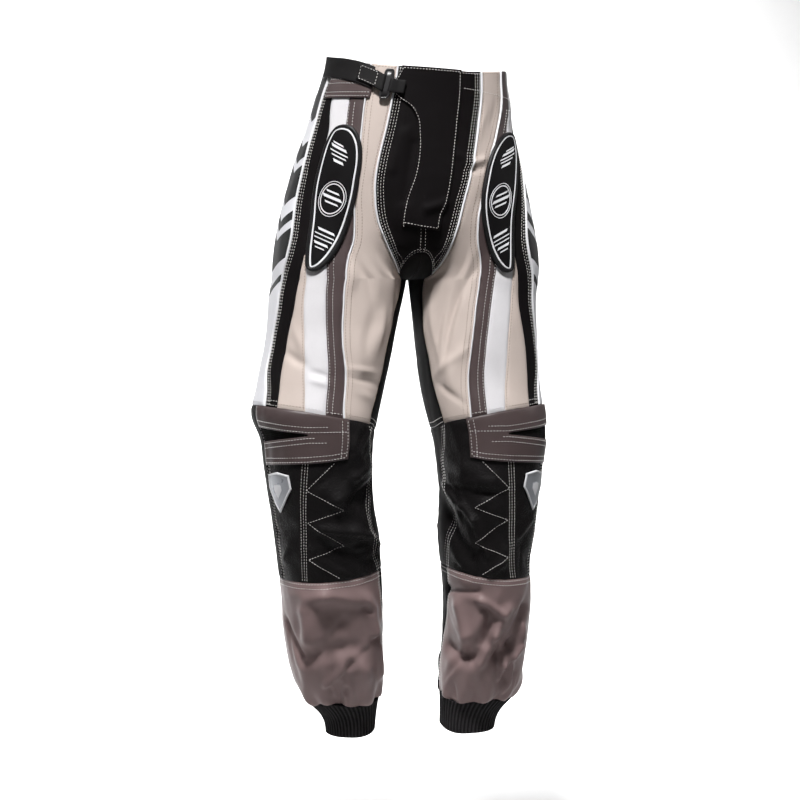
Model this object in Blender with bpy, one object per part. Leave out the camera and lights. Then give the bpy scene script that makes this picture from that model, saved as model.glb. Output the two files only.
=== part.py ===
"""Motocross trousers, filled out and hollow, as worn: every cut and sewn piece is its own thin solid."""

import math

import bpy
import numpy as np

# Units and driving sizes. Tables are in millimetres and percent of the way round, the model is in metres.
MM = 0.001
CLOTH = 1.6
SEAM_GAP = 0.3
EDGE_INSET = 0.3
MIDLINE_GAP = 0.2
CROTCH = -300.0
RISE_BLEND = 95.0
HIP_TOP, HIP_FOOT = -150.0, -350.0
ARCH_TOP, ARCH_FOOT = -244.0, -281.0
YOKE_BEND = -210.0
PIPING_WIDTH, THIN_PIPING_WIDTH = 3.4, 2.8
PIPING_RAISE = 0.8
OUTER_KNEE_SEAM, OUTER_CALF_SEAM = 44.0, 56.0
INSEAM_COLUMN = 0.871
CUFF_RIBS = 48
CUFF_RIB_DEPTH = 1.0
STRETCH_RIB_DEPTH = 0.9
GATHERS = 10
GATHER_DEPTH = 3.2
FLAP_LIFT, BAND_LIFT = 1.6, 2.0
STRAP_THICKNESS = 1.7
STRAP_UNDER, STRAP_OVER = 4.2, 9.4
RING_RADIUS = 1.4
RING_MIDDLE, RING_HALF = 17.5, 1.55
RIGHT, LEFT = -1, 1
SIDES = {"right": RIGHT, "left": LEFT}


class Table:
    """A short table with named columns, read smoothly between its rows (first column descending)."""

    def __init__(self, columns, *rows):
        self.names = columns
        self.rows = np.array(rows, float)[::-1]

    def at(self, name, where):
        """The column's value at each place, on a cubic curve through the rows."""
        x = self.rows[:, 0]
        y = self.rows[:, self.names.index(name)]
        slope = np.gradient(y, x)
        where = np.clip(np.asarray(where, float), x[0], x[-1])
        i = np.clip(np.searchsorted(x, where, side="right") - 1, 0, len(x) - 2)
        step = x[i + 1] - x[i]
        t = (where - x[i]) / step
        return (
            y[i] * (1 + 2 * t) * (1 - t) ** 2
            + slope[i] * step * t * (1 - t) ** 2
            + y[i + 1] * t**2 * (3 - 2 * t)
            + slope[i + 1] * step * t**2 * (t - 1)
        )


# The hips and waist: half of the oval section, measured from the midline.
TORSO = Table(
    ("height", "half_width", "front", "back"),
    (60, 137, 104, 108),
    (0, 139, 105, 110),
    (-30, 147, 106, 113),
    (-75, 156, 108, 118),
    (-120, 170, 110, 124),
    (-190, 187, 112, 130),
    (-255, 199, 112, 128),
    (-330, 202, 108, 118),
)

# The legs: how far the inner side is from the midline, the two widths, and the place and depth of the section.
LEGS = Table(
    ("height", "half_gap", "right_width", "left_width", "centre_y", "half_depth", "tip"),
    (-205, 0, 196, 191, 8, 108, 26),
    (-300, 0, 206, 198, 8, 104, 26),
    (-322, 4, 204, 193, 7, 102, 20),
    (-355, 11, 197, 188, 2, 98, 10),
    (-390, 18, 191, 184, -3, 95, 4),
    (-457, 31, 189, 178, -12, 92, 0),
    (-502, 41, 186, 174, -20, 92, 0),
    (-535, 49, 167, 166, -23, 91, 0),
    (-570, 53, 160, 156, -24, 90, 0),
    (-637, 54, 153, 144, -18, 86, 0),
    (-682, 49, 155, 142, -8, 84, 0),
    (-727, 50, 152, 131, 2, 82, 0),
    (-772, 50, 152, 130, 12, 80, 0),
    (-840, 49, 147, 126, 28, 76, 0),
    (-885, 47, 139, 125, 38, 70, 0),
    (-912, 47, 128, 126, 44, 60, 0),
    (-935, 50, 108, 112, 49, 50, 0),
    (-952, 51, 88, 96, 52, 43, 0),
    (-1010, 52, 74, 80, 58, 39, 0),
)

# How the worn garment leans and turns about the vertical, level by level.
POSE = Table(
    ("height", "shift", "turn"),
    (60, 4, 4),
    (0, 2, 4),
    (-75, -6, 3),
    (-190, -12, -2),
    (-300, -10, 0),
    (-400, -18, 0),
    (-502, -24, 0),
    (-570, -22, 0),
    (-682, -12, 0),
    (-772, 0, 0),
    (-1010, 2, 0),
)
# How far the back of each ankle hangs towards the other leg.
ANKLE_SKEW = Table(
    ("height", "right", "left"),
    (-820, 0, 0),
    (-870, 6, 0),
    (-900, 12, 0),
    (-940, 14, 0),
    (-1010, 14, 0),
)
SQUARENESS = 0.07
TIP_SPREAD = 0.55
WAIST_ROLL = 0.05

# How the worn cloth is pulled round the body, in percent of the way round.
TWIST = Table(
    ("height", "twist"),
    (60, -2.5),
    (-40, -2.5),
    (-120, 0),
    (-190, 2),
    (-260, 4),
    (-340, 3.4),
    (-420, 2.5),
    (-500, 2.2),
    (-600, 3),
    (-1010, 3),
)

# Where each upright seam runs, in percent of the way round from the centre front, both sides cut alike.
THIGH_SEAMS = Table(
    ("height", "rise", "cream", "taupe", "white", "cream_side", "black", "side_panel"),
    (50, 14.5, 26, 33, 42.5, 42.5, 48, 58),
    (-20, 14.3, 24.5, 31.8, 41.8, 41.8, 47.6, 58.5),
    (-60, 13.8, 23, 30, 38.8, 38.8, 46.8, 59),
    (-90, 13.3, 21, 27.5, 35, 35, 44.7, 59),
    (-120, 12.7, 18.6, 25, 33, 33, 41.5, 58),
    (-150, 12, 17.2, 23.5, 31, 31, 38.8, 57),
    (-181, 11, 16.5, 23, 30, 30, 37, 56),
    (-212, 10, 16, 23, 29.5, 29.5, 36, 55.5),
    (-240, 8.3, 17, 23.8, 30, 30, 36, 56),
    (-265, 6.6, 19.5, 25, 30.8, 31.4, 37.2, 56.5),
    (-300, 5.5, 22, 26.5, 31.8, 33.8, 39.8, 58),
    (-345, 6.5, 22.8, 27, 32.5, 35.3, 41.2, 59),
    (-397, 8.2, 22, 26, 31.6, 37, 43.2, 60),
    (-440, 8.3, 20.2, 24.6, 30.4, 37.2, 43.4, 60),
    (-480, 9.3, 19.2, 23.8, 29, 36.5, 41.2, 59),
    (-525, 9.7, 18, 23, 27.5, 35.5, 40, 58),
)

LOWER_SEAMS = Table(
    ("height", "inner", "middle"),
    (-480, 9.5, 28.5),
    (-525, 7, 29),
    (-560, 5, 29.4),
    (-600, 6, 30.3),
    (-645, 8.5, 31.5),
    (-690, 8, 32.5),
    (-745, 6, 33.6),
    (-785, 5.5, 34),
    (-835, 3.5, 34),
    (-863, 1.5, 34),
    (-893, 0.5, 34),
    (-945, 0, 34),
)

# The heights of the crosswise edges, by the share of the way round.
EDGES = Table(
    ("share", "right_waist", "left_waist", "knee", "hem", "cuff", "end"),
    (100, 30, 30, -524, -727, -926, -977),
    (90, 29, 27, -522, -729, -921, -974),
    (75, 26, 21, -510, -735, -916, -972),
    (60, 20, 20, -492, -742, -925, -977),
    (45, 11, 20, -485, -744, -938, -985),
    (29, 10, 16, -493, -746, -936, -988),
    (18.5, 8, 11, -504, -741, -940, -988),
    (9, 7, 7, -514, -733, -934, -983),
    (4, 7, 7, -522, -729, -928, -979),
    (0, 7, 7, -524, -727, -926, -977),
)

# Rows of each tier, which every panel in it shares, with the crosswise edges at its two ends.
TIERS = {
    "thigh": (
        (8, -14, -38, -65, -95, -125, -153, -181, -210, -230, -248, -265, -281, -288, -294, -300)
        + (-312, -335, -365, -397, -432, -466, -500),
        ("waist", "knee"),
    ),
    "knee": ((-500, -520, -540, -560, -582, -605, -630, -655, -680, -702, -724, -745), ("knee", "hem")),
    "calf": ((-745, -775, -808, -840, -866, -888, -906, -920, -931, -940), ("hem", "cuff")),
    "ankle": ((-940, -960, -1000), ("cuff", "end")),
}

# The largest folds: ridges are positive and troughs negative. Lean is in degrees from upright, outward at the top.
FOLDS = (
    ("leg", "height", "share", "half_length", "half_width", "depth", "lean"),
    (RIGHT, -318, 15, 42, 15, 4.5, 0),
    (RIGHT, -395, 14, 40, 16, 3, -20),
    (LEFT, -352, 15, 60, 11, -6, 14),
    (LEFT, -340, 10, 60, 13, 4, 10),
    (LEFT, -440, 15, 38, 12, 3, -12),
    (RIGHT, -560, 14, 50, 12, 4, 38),
    (RIGHT, -600, 16, 46, 12, -4, 40),
    (RIGHT, -630, 19, 40, 12, 4, 48),
    (RIGHT, -700, 14, 40, 14, 5, 60),
    (LEFT, -585, 18, 55, 12, 4, -70),
    (LEFT, -640, 12, 60, 10, 4, -40),
    (LEFT, -665, 9, 60, 12, -5, -38),
    (LEFT, -700, 22, 40, 12, -4, 40),
    (RIGHT, -890, 26, 38, 8, -6, 0),
    (RIGHT, -850, 20, 60, 12, 4, 35),
    (RIGHT, -820, 33, 60, 12, 3, -30),
    (LEFT, -880, 30, 34, 8, -6, -12),
    (LEFT, -840, 17, 60, 12, 4, 40),
    (LEFT, -790, 24, 50, 12, 3, 35),
    (0, -130, 90, 50, 14, -3, 25),
    (0, -250, 88, 60, 16, -5, 50),
    (0, -285, 80, 60, 14, 4, 60),
    (0, -380, 86, 60, 16, -4, 20),
    (0, -555, 75, 60, 9, -5, 84),
    (0, -590, 78, 60, 10, 4, 88),
    (0, -625, 73, 60, 9, -5, 95),
    (0, -800, 78, 60, 14, 4, 20),
    (0, -870, 70, 45, 10, -5, -10),
)


def leg_section(side, share, height):
    """A leg's closed section, in millimetres from the midline: share 0 and 1 are the inseam, 0.5 the outer side."""
    angle = 2 * math.pi * (share % 1)
    width = LEGS.at("right_width" if side == RIGHT else "left_width", height)
    depth = LEGS.at("half_depth", height)
    out = -np.cos(angle) * (1 + SQUARENESS * np.sin(angle) ** 2)
    back = -np.sin(angle) * (1 + SQUARENESS * np.cos(angle) ** 2)
    from_inseam = np.minimum(angle, 2 * math.pi - angle)
    tip = LEGS.at("tip", height) * np.exp(-from_inseam / TIP_SPREAD)
    base = LEGS.at("tip", height) * (1 + out) / -2 + LEGS.at("tip", height)
    x = np.maximum(LEGS.at("half_gap", height), 0) + width * (1 + out) / 2 + base - tip
    x = x - ANKLE_SKEW.at("right" if side == RIGHT else "left", height) * np.clip(back, 0, 1)
    return x, LEGS.at("centre_y", height) + depth * back


def torso_section(share, height):
    """Half of the torso's section: share 0 is the centre front, 0.5 the side, 1 the centre back."""
    angle = math.pi * (0.5 + share)
    out = -np.cos(angle) * (1 + SQUARENESS * np.sin(angle) ** 2)
    back = -np.sin(angle) * (1 + SQUARENESS * np.cos(angle) ** 2)
    depth = np.where(back < 0, TORSO.at("front", height), TORSO.at("back", height))
    return TORSO.at("half_width", height) * out, depth * back


def plain_point(side, share, height):
    """The garment's surface with no folds and before the pose; share is in percent of the cut."""
    share, height = np.broadcast_arrays(np.asarray(share, float), np.asarray(height, float))
    share = share / 100
    low = np.clip((CROTCH - height) / 100, 0, 1)
    pull = low + (1 - low) * np.sin(math.pi * np.clip(share, 0, 1))
    share = share - side * TWIST.at("twist", height) / 100 * pull
    rise = np.clip((height - CROTCH) / RISE_BLEND, 0, 1)
    near_midline = np.abs(2 * np.clip(share, 0, 1) - 1) ** 3
    slow = np.clip((height - HIP_FOOT) / (HIP_TOP - HIP_FOOT), 0, 1)
    blend = near_midline * np.sin(rise * math.pi / 2) + (1 - near_midline) * slow * slow * (3 - 2 * slow)
    leg_x, leg_y = leg_section(side, share, height)
    torso_x, torso_y = torso_section(share, height)
    x = MIDLINE_GAP + (1 - blend) * leg_x + blend * torso_x
    y = (1 - blend) * leg_y + blend * torso_y
    z = height - near_midline * RISE_BLEND * (rise - 1 + np.cos(rise * math.pi / 2))
    return np.stack([side * x, y, z], axis=-1)


def per_percent(side, share, height):
    """Millimetres of cloth for one percent of the way round."""
    step = 0.1
    ahead = plain_point(side, share + step, height)
    behind = plain_point(side, share - step, height)
    return np.linalg.norm(ahead - behind, axis=-1) / (2 * step)


def outward(side, share, height):
    """Unit normals, shared by the two panels that meet at a seam."""
    share, height = np.broadcast_arrays(np.asarray(share, float), np.asarray(height, float))
    above = height > CROTCH - 1e-6
    lower, upper = share - 0.2, share + 0.2
    lower = np.where(above, np.maximum(lower, 0), lower)
    upper = np.where(above, np.minimum(upper, 100), upper)
    across = plain_point(side, upper, height) - plain_point(side, lower, height)
    along = plain_point(side, share, height + 1) - plain_point(side, share, height - 1)
    normal = np.cross(across, along) * side
    on_midline = above & ((share < 1e-6) | (share > 100 - 1e-6))
    normal[..., 0] = np.where(on_midline, 0, normal[..., 0])
    at_crotch = on_midline & (height < CROTCH + 1e-6)
    normal[at_crotch] = (0, 0, -1)
    return normal / np.linalg.norm(normal, axis=-1, keepdims=True)


def fold_depth(side, share, height):
    """How far the folds and the gathers over the cuff push the cloth out."""
    names, *rows = FOLDS
    total = np.zeros(np.broadcast(share, height).shape)
    for row in rows:
        fold = dict(zip(names, row))
        if fold["leg"] == -side:
            continue
        round_mm = 5.0 if fold["height"] < CROTCH else 4.6
        across = (share % 100 - fold["share"]) * round_mm
        up = height - fold["height"]
        lean = math.radians(fold["lean"])
        run = up * math.cos(lean) + across * math.sin(lean)
        off = across * math.cos(lean) - up * math.sin(lean)
        total = total + fold["depth"] * np.exp(-((run / fold["half_length"]) ** 2) - (off / fold["half_width"]) ** 2)
    near_cuff = np.clip(1 - np.abs(height + 928) / 45, 0, 1)
    return total + GATHER_DEPTH * near_cuff**1.5 * np.cos(2 * math.pi * (GATHERS * share / 100 + 0.2 * side))


def pose(points):
    """Turns, rolls and shifts the points level by level, as worn."""
    x, y, z = np.moveaxis(np.asarray(points, float), -1, 0)
    turn = np.radians(POSE.at("turn", z))
    turned = x * np.cos(turn) - y * np.sin(turn)
    y = x * np.sin(turn) + y * np.cos(turn)
    roll = np.clip((z + 150) / 150, 0, 1)
    roll = roll * roll * (3 - 2 * roll)
    shift = POSE.at("shift", z)
    return np.stack([turned + shift, y, z - WAIST_ROLL * turned * roll], axis=-1)


def cloth(side, share, height, out=0.0, seam_share=None):
    """Posed points on the cloth, moved out; seam_share is where the fold and normal are read for an inset edge."""
    seam_share = share if seam_share is None else seam_share
    lift = fold_depth(side, seam_share, height) + out
    points = plain_point(side, share, height) + outward(side, seam_share, height) * lift[..., None]
    return pose(points)


def seam(side, what, height):
    """The share of the way round at each height: a number, a seam's name, or a name with millimetres past it."""
    if isinstance(what, (int, float)):
        return np.full(np.shape(height), float(what))
    name, past = what if isinstance(what, tuple) else (what, 0.0)
    if name == "piping_end":
        share = seam(side, "rise", height)
        past = PIPING_WIDTH * np.clip((np.asarray(height) - CROTCH) / (ARCH_FOOT - CROTCH), 0, 1)
    elif name == "inner_round":
        share = 100 + LOWER_SEAMS.at("inner", height)
    else:
        table = THIGH_SEAMS if name in THIGH_SEAMS.names else LOWER_SEAMS
        share = table.at(name, height)
    return share + past / per_percent(side, share, height)


def level(tier, side, share, nominal, shape=""):
    """The true height of a tier's row at each share, with its ends on the crosswise edges."""
    rows, (top_name, bottom_name) = TIERS[tier]
    if top_name == "waist":
        top_name = ("right_" if side == RIGHT else "left_") + top_name
    round_share = np.where(share > 100, share - 100, np.maximum(share, 0))
    top = EDGES.at(top_name, round_share) - rows[0]
    bottom = EDGES.at(bottom_name, round_share) - rows[-1]
    if tier != "thigh":
        part = (rows[0] - nominal) / (rows[0] - rows[-1])
        return nominal + top * (1 - part) + bottom * part
    height = (
        nominal
        + top * np.maximum(nominal - CROTCH, 0) / (rows[0] - CROTCH)
        + bottom * np.maximum(CROTCH - nominal, 0) / (CROTCH - rows[-1])
    )
    edge = THIGH_SEAMS.at("rise", ARCH_FOOT)
    arch = ARCH_FOOT + (ARCH_TOP - ARCH_FOOT) * (1 - np.clip(share / edge, 0, 1) ** 2)
    if shape == "over_arch":
        bent = YOKE_BEND + (nominal - YOKE_BEND) * (arch - YOKE_BEND) / (ARCH_FOOT - YOKE_BEND)
        height = np.where(nominal < YOKE_BEND, bent, height)
    if shape == "under_arch":
        bent = CROTCH + (nominal - CROTCH) * (arch - CROTCH) / (ARCH_FOOT - CROTCH)
        height = np.where(nominal > CROTCH, bent, height)
    return height


def start_arch(side):
    """The part of the inner thigh's top edge that lies under the yoke."""
    return THIGH_SEAMS.at("rise", ARCH_FOOT) / seam(side, "piping_end", np.array(ARCH_FOOT))


def panel_grid(side, tier, start, stop, first, last, columns, shape="", divide=1, inset=SEAM_GAP / 2):
    """Shares, seam shares and heights of a panel's grid, its edges drawn in by half the seam gap."""
    rows = np.array([row for row in TIERS[tier][0] if last <= row <= first], float)
    if divide > 1:
        rows = np.interp(np.arange((len(rows) - 1) * divide + 1) / divide, np.arange(len(rows)), rows)
    start_share, stop_share = seam(side, start, rows), seam(side, stop, rows)
    part = np.linspace(0, 1, columns + 1)
    if shape == "under_arch":
        part = np.append(np.linspace(0, start_arch(side), columns), 1)
    if stop == "inner_round" and tier == "knee":
        part = np.append(np.linspace(0, INSEAM_COLUMN, columns - 1), ((1 + INSEAM_COLUMN) / 2, 1))
    seam_share = start_share[:, None] + (stop_share - start_share)[:, None] * part
    nominal = np.repeat(rows[:, None], len(part), axis=1)
    height = level(tier, side, seam_share, nominal, shape)
    height[0] -= EDGE_INSET
    height[-1] += EDGE_INSET
    share = seam_share.copy()
    share[:, 0] += inset / per_percent(side, share[:, 0], height[:, 0])
    share[:, -1] -= inset / per_percent(side, share[:, -1], height[:, -1])
    return share, seam_share, height


def make_object(name, vertices, faces, colour, roughness, metal=0.0):
    """One named closed mesh in metres with its own material."""
    mesh = bpy.data.meshes.new(name)
    mesh.from_pydata([tuple(float(c) * MM for c in v) for v in vertices], [], faces)
    mesh.validate()
    material = bpy.data.materials.new(name + "_material")
    material.use_nodes = True
    shader = material.node_tree.nodes["Principled BSDF"]
    shader.inputs["Base Color"].default_value = (*colour, 1.0)
    shader.inputs["Roughness"].default_value = roughness
    shader.inputs["Metallic"].default_value = metal
    mesh.materials.append(material)
    thing = bpy.data.objects.new(name, mesh)
    bpy.context.collection.objects.link(thing)
    return thing


def sheet(name, outer, inner, finish, flip=False, keep=None, closed=False):
    """A closed wall between two grids of points; keep marks the cells that stay."""
    rows, columns = outer.shape[:2]
    count = rows * columns
    cells = []
    for r in range(rows - 1):
        for c in range(columns if closed else columns - 1):
            if keep is None or keep[r][c]:
                d = (c + 1) % columns
                cell = (r * columns + c, (r + 1) * columns + c, (r + 1) * columns + d, r * columns + d)
                cells.append(cell[::-1] if flip else cell)
    edges = {(cell[i], cell[(i + 1) % 4]) for cell in cells for i in range(4)}
    vertices = np.concatenate([outer.reshape(-1, 3), inner.reshape(-1, 3)])
    faces = []
    for a, b, c, d in cells:
        if np.linalg.norm(vertices[a] - vertices[c]) <= np.linalg.norm(vertices[b] - vertices[d]):
            halves = ((a, b, c), (a, c, d))
        else:
            halves = ((b, c, d), (b, d, a))
        faces += halves
        faces += [tuple(count + i for i in half[::-1]) for half in halves]
    for a, b in sorted(edges):
        if (b, a) not in edges and a < b:
            faces += [(b, a, b + count), (a, a + count, b + count)]
        elif (b, a) not in edges:
            faces += [(b, a, a + count), (b, a + count, b + count)]
    used = sorted({i for face in faces for i in face})
    place = {old: new for new, old in enumerate(used)}
    return make_object(name, vertices[used], [tuple(place[i] for i in face) for face in faces], *finish)


def panel(
    name, side, finish, tier, start, stop, first, last, columns,
    shape="", raised=0.0, ribs=0.0, divide=1, inset=SEAM_GAP / 2,
):
    """One cut panel between two upright seams."""
    share, seam_share, height = panel_grid(side, tier, start, stop, first, last, columns, shape, divide, inset)
    raise_by = np.full(share.shape, raised)
    raise_by[1:-1:2] += ribs
    outer = cloth(side, share, height, raise_by, seam_share)
    inner = cloth(side, share, height, np.full(share.shape, -CLOTH), seam_share)
    return sheet(name, outer, inner, finish, flip=side == RIGHT)


def disc(name, side, outline, spine, profile, floor, finish):
    """A closed moulded piece lying on the cloth: rings shrink towards its spine, each at its own height."""
    share, height = np.array(outline, float).T
    middle = (height.max() + height.min()) / 2
    count = len(share)
    rings, faces = [], []
    for scale, out in list(profile) + [(scale, floor) for scale in PAD_FLOOR_RINGS]:
        ring_height = middle + (height - middle) * scale
        ring_share = spine(ring_height) + (share - spine(height)) * scale
        rings.append(cloth(side, ring_share, ring_height, np.full(count, float(out))))
    centre = np.array([middle])
    top, bottom = (cloth(side, spine(centre), centre, np.array([float(out)])) for out in (profile[-1][1], floor))
    vertices = np.concatenate(rings + [top, bottom])
    tops, levels = len(profile), len(rings)
    top_index, bottom_index = levels * count, levels * count + 1
    for i in range(count):
        j = (i + 1) % count
        for a in range(tops - 1):
            faces.append((a * count + i, a * count + j, (a + 1) * count + j, (a + 1) * count + i))
        faces.append(((tops - 1) * count + i, (tops - 1) * count + j, top_index))
        faces.append((tops * count + j, tops * count + i, bottom_index))
        for a in range(tops, levels - 1):
            faces.append((a * count + i, a * count + j, (a + 1) * count + j, (a + 1) * count + i))
        last = levels - 1
        faces.append((j, i, last * count + i, last * count + j))
    if side == LEFT:
        faces = [face[::-1] for face in faces]
    return make_object(name, vertices, faces, *finish)


# Colours, roughness and metal of each finish.
BLACK = ((0.02, 0.018, 0.018), 0.75)
LEATHER = ((0.018, 0.017, 0.017), 0.5)
WHITE = ((0.82, 0.82, 0.85), 0.7)
CREAM = ((0.6, 0.54, 0.48), 0.75)
TAUPE = ((0.115, 0.085, 0.08), 0.6)
RUBBER = ((0.03, 0.03, 0.032), 0.45)
KNIT = ((0.012, 0.011, 0.011), 0.9)
METAL = ((0.09, 0.085, 0.085), 0.35, 0.9)

# The panels of one side: finish, tier, the seams it lies between, its first and last row, and how many columns.
PANELS = (
    ("name", "finish", "tier", "start", "stop", "first", "last", "columns", "shape"),
    ("front_yoke", BLACK, "thigh", 0, "rise", 8, -281, 4, "over_arch"),
    ("front_cream", CREAM, "thigh", "piping_end", "cream", 8, -500, 4, ""),
    ("taupe_stripe", TAUPE, "thigh", ("cream", THIN_PIPING_WIDTH), "taupe", 8, -500, 2, ""),
    ("white_stripe", WHITE, "thigh", "taupe", "white", 8, -500, 2, ""),
    ("cream_side_stripe", CREAM, "thigh", "white", "cream_side", -265, -500, 2, ""),
    ("black_side", BLACK, "thigh", "cream_side", "black", 8, -500, 2, ""),
    ("side_panel", WHITE, "thigh", ("black", PIPING_WIDTH), "side_panel", 8, -500, 3, ""),
    ("seat_back", BLACK, "thigh", "side_panel", 100, -38, -500, 7, ""),
    ("inner_thigh", BLACK, "thigh", 0, "piping_end", -281, -500, 5, "under_arch"),
    ("knee_panel", LEATHER, "knee", "inner", "middle", -500, -745, 8, ""),
    ("knee_side", LEATHER, "knee", "middle", OUTER_KNEE_SEAM, -560, -745, 4, ""),
    ("knee_back", BLACK, "knee", OUTER_KNEE_SEAM, "inner_round", -500, -745, 10, ""),
    ("calf_front", TAUPE, "calf", "inner", OUTER_CALF_SEAM, -745, -940, 18, ""),
    ("calf_back", BLACK, "calf", OUTER_CALF_SEAM, "inner_round", -745, -940, 14, ""),
)

PIPINGS = (
    ("name", "start", "stop", "last"),
    ("rise_piping", "rise", "piping_end", -281),
    ("thin_piping", "cream", ("cream", THIN_PIPING_WIDTH), -500),
    ("side_piping", "black", ("black", PIPING_WIDTH), -500),
)

# The hip pad's two long edges, and its moulded profile from the rim to the middle.
PAD = Table(
    ("height", "inner", "outer"),
    (-78, 28.6, 28.6),
    (-80, 26.2, 30.8),
    (-86, 23.6, 32.3),
    (-100, 20.4, 32.8),
    (-123, 17.8, 32),
    (-150, 16.5, 30.7),
    (-180, 16, 29.5),
    (-208, 17, 29),
    (-235, 19.4, 29.6),
    (-260, 22.6, 30.5),
    (-278, 25.6, 31),
    (-288, 28, 30.7),
    (-291, 29.4, 29.4),
)
PAD_PROFILE = ((1.0, 3.6), (0.96, 5.6), (0.87, 5.6), (0.82, 5.0), (0.55, 6.3), (0.28, 6.9))
PAD_FLOOR = 1.7
PAD_POINTS = 28
PAD_FLOOR_RINGS = (0.34, 0.67, 1.0)

# The badge's plain tapered outline on the outer knee: share and height of each corner.
BADGE_MIDDLE = 39.3
BADGE_CORNERS = ((34.5, -586), (39, -582), (43.5, -586), (44, -606), (41.5, -630), (39.5, -642), (37.5, -630), (34, -606))

# The fly flap's two edges, in percent from the centre front, the wearer's right being negative.
FLAP = Table(
    ("height", "right_edge", "left_edge"),
    (8, -13.4, 7),
    (-38, -12.8, 7),
    (-47, -9, 7),
    (-62, -6, 7),
    (-90, -4, 7),
    (-120, -3, 7),
    (-150, -3, 7),
    (-181, -4, 6.5),
    (-216, -4.8, 4.4),
)
FLAP_ROWS = (8, -14, -38, -44, -50, -65, -80, -95, -125, -153, -181, -197, -209, -216)


def build_side(label, side):
    """Every panel, piping, pad, band and cuff of one side."""
    names, *rows = PANELS
    for row in rows:
        cut = dict(zip(names, row))
        title, finish = cut.pop("name"), cut.pop("finish")
        panel(f"{title}_{label}", side, finish, **cut)
    names, *rows = PIPINGS
    for row in rows:
        cut = dict(zip(names, row))
        title = cut.pop("name")
        panel(f"{title}_{label}", side, WHITE, "thigh", first=8, columns=1, raised=PIPING_RAISE, **cut)
    panel(
        f"knee_stretch_{label}", side, BLACK, "knee", "middle", OUTER_KNEE_SEAM, -500, -560, 5,
        ribs=STRETCH_RIB_DEPTH, divide=5, inset=0.4,
    )
    build_cuff(f"cuff_{label}", side)
    build_band(f"knee_band_{label}", side)
    turn = 2 * math.pi * np.arange(PAD_POINTS) / PAD_POINTS
    middle, half = (-78 - 291) / 2, (291 - 78) / 2
    heights = middle + half * np.cos(turn)
    edge = np.where(np.sin(turn) > 0, PAD.at("outer", heights), PAD.at("inner", heights))
    disc(f"hip_pad_{label}", side, np.stack([edge, heights], axis=-1), pad_spine, PAD_PROFILE, PAD_FLOOR, RUBBER)
    corners = np.array(BADGE_CORNERS)
    halfway = (corners + np.roll(corners, -1, axis=0)) / 2
    outline = np.stack([corners, halfway], axis=1).reshape(-1, 2)
    disc(f"badge_{label}", side, outline, badge_spine, ((1.0, 2.2),), 0.8, WHITE)


def pad_spine(height):
    """The middle of the hip pad at each height."""
    return (PAD.at("inner", height) + PAD.at("outer", height)) / 2


def badge_spine(height):
    """The middle of the badge, the same at every height."""
    return np.full(np.shape(height), BADGE_MIDDLE)


def build_cuff(name, side):
    """The ribbed knit cuff, a closed tube with its ribs raised over a plain inside."""
    rows = np.array(TIERS["ankle"][0], float)
    share = np.repeat((np.arange(CUFF_RIBS * 2) * 50 / CUFF_RIBS)[None, :], len(rows), axis=0)
    nominal = np.repeat(rows[:, None], share.shape[1], axis=1)
    height = level("ankle", side, share, nominal)
    height[0] -= SEAM_GAP / 2
    rib = np.where(np.arange(share.shape[1]) % 2, 0.0, -CUFF_RIB_DEPTH)
    rib = np.repeat(rib[None, :], len(rows), axis=0)
    inner_wall = np.full(share.shape, -CLOTH - CUFF_RIB_DEPTH)
    plain = plain_point(side, share, height)
    normal = outward(side, share, height)
    outer, inner = (pose(plain + normal * lift[..., None]) for lift in (rib, inner_wall))
    sheet(name, outer, inner, KNIT, flip=side == RIGHT, closed=True)


def build_band(name, side):
    """The taupe knee band, a C shape whose wedge opening shows the stretch insert."""
    shares = np.array((17.6, 20.4, 23.2, 26, 28.2, 31, 34, 37.5, 41, OUTER_KNEE_SEAM - 0.2))
    open_by = np.clip((shares - 28.2) / 15.6, 0, 1)
    top = EDGES.at("knee", shares) - 0.4
    upper, lower = -526 + 10 * open_by, -528.6 - 9.4 * open_by
    bottom = np.interp(shares, (17.6, 22, 29, 44), (-562, -566, -569, -572))
    height = np.concatenate([
        top + (upper - top) * np.array((0, 0.5, 1))[:, None],
        lower + (bottom - lower) * np.array((0, 0.5, 1))[:, None],
    ])
    share = np.repeat(shares[None, :], len(height), axis=0)
    keep = [[row != 2 or shares[column + 1] <= 28.3 for column in range(len(shares) - 1)] for row in range(5)]
    outer = cloth(side, share, height, np.full(share.shape, BAND_LIFT + CLOTH))
    inner = cloth(side, share, height, np.full(share.shape, BAND_LIFT))
    sheet(name, outer, inner, TAUPE, flip=side == RIGHT, keep=keep)


def across_front(signed_share, height, out):
    """Posed points on either side of the centre front, the wearer's right being negative."""
    right = cloth(RIGHT, np.maximum(-signed_share, 0), height, out)
    left = cloth(LEFT, np.maximum(signed_share, 0), height, out)
    return np.where((signed_share < 0)[..., None], right, left)


def build_flap():
    """The fly flap on the two yokes."""
    rows = np.array(FLAP_ROWS, float)
    right, left = FLAP.at("right_edge", rows), FLAP.at("left_edge", rows)
    part = np.array((0, 0.15, 0.32, 0.48, 0.64, 0.82, 1))
    share = right[:, None] + (left - right)[:, None] * part
    share = np.where(np.abs(share) < 0.4, np.where(share < 0, -0.4, 0.4), share)
    height = np.repeat(rows[:, None], len(part), axis=1)
    height[-1] -= 6 * part
    outer = across_front(share, height, np.full(share.shape, FLAP_LIFT + CLOTH))
    inner = across_front(share, height, np.full(share.shape, FLAP_LIFT))
    sheet("fly_flap", outer, inner, BLACK)


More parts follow.
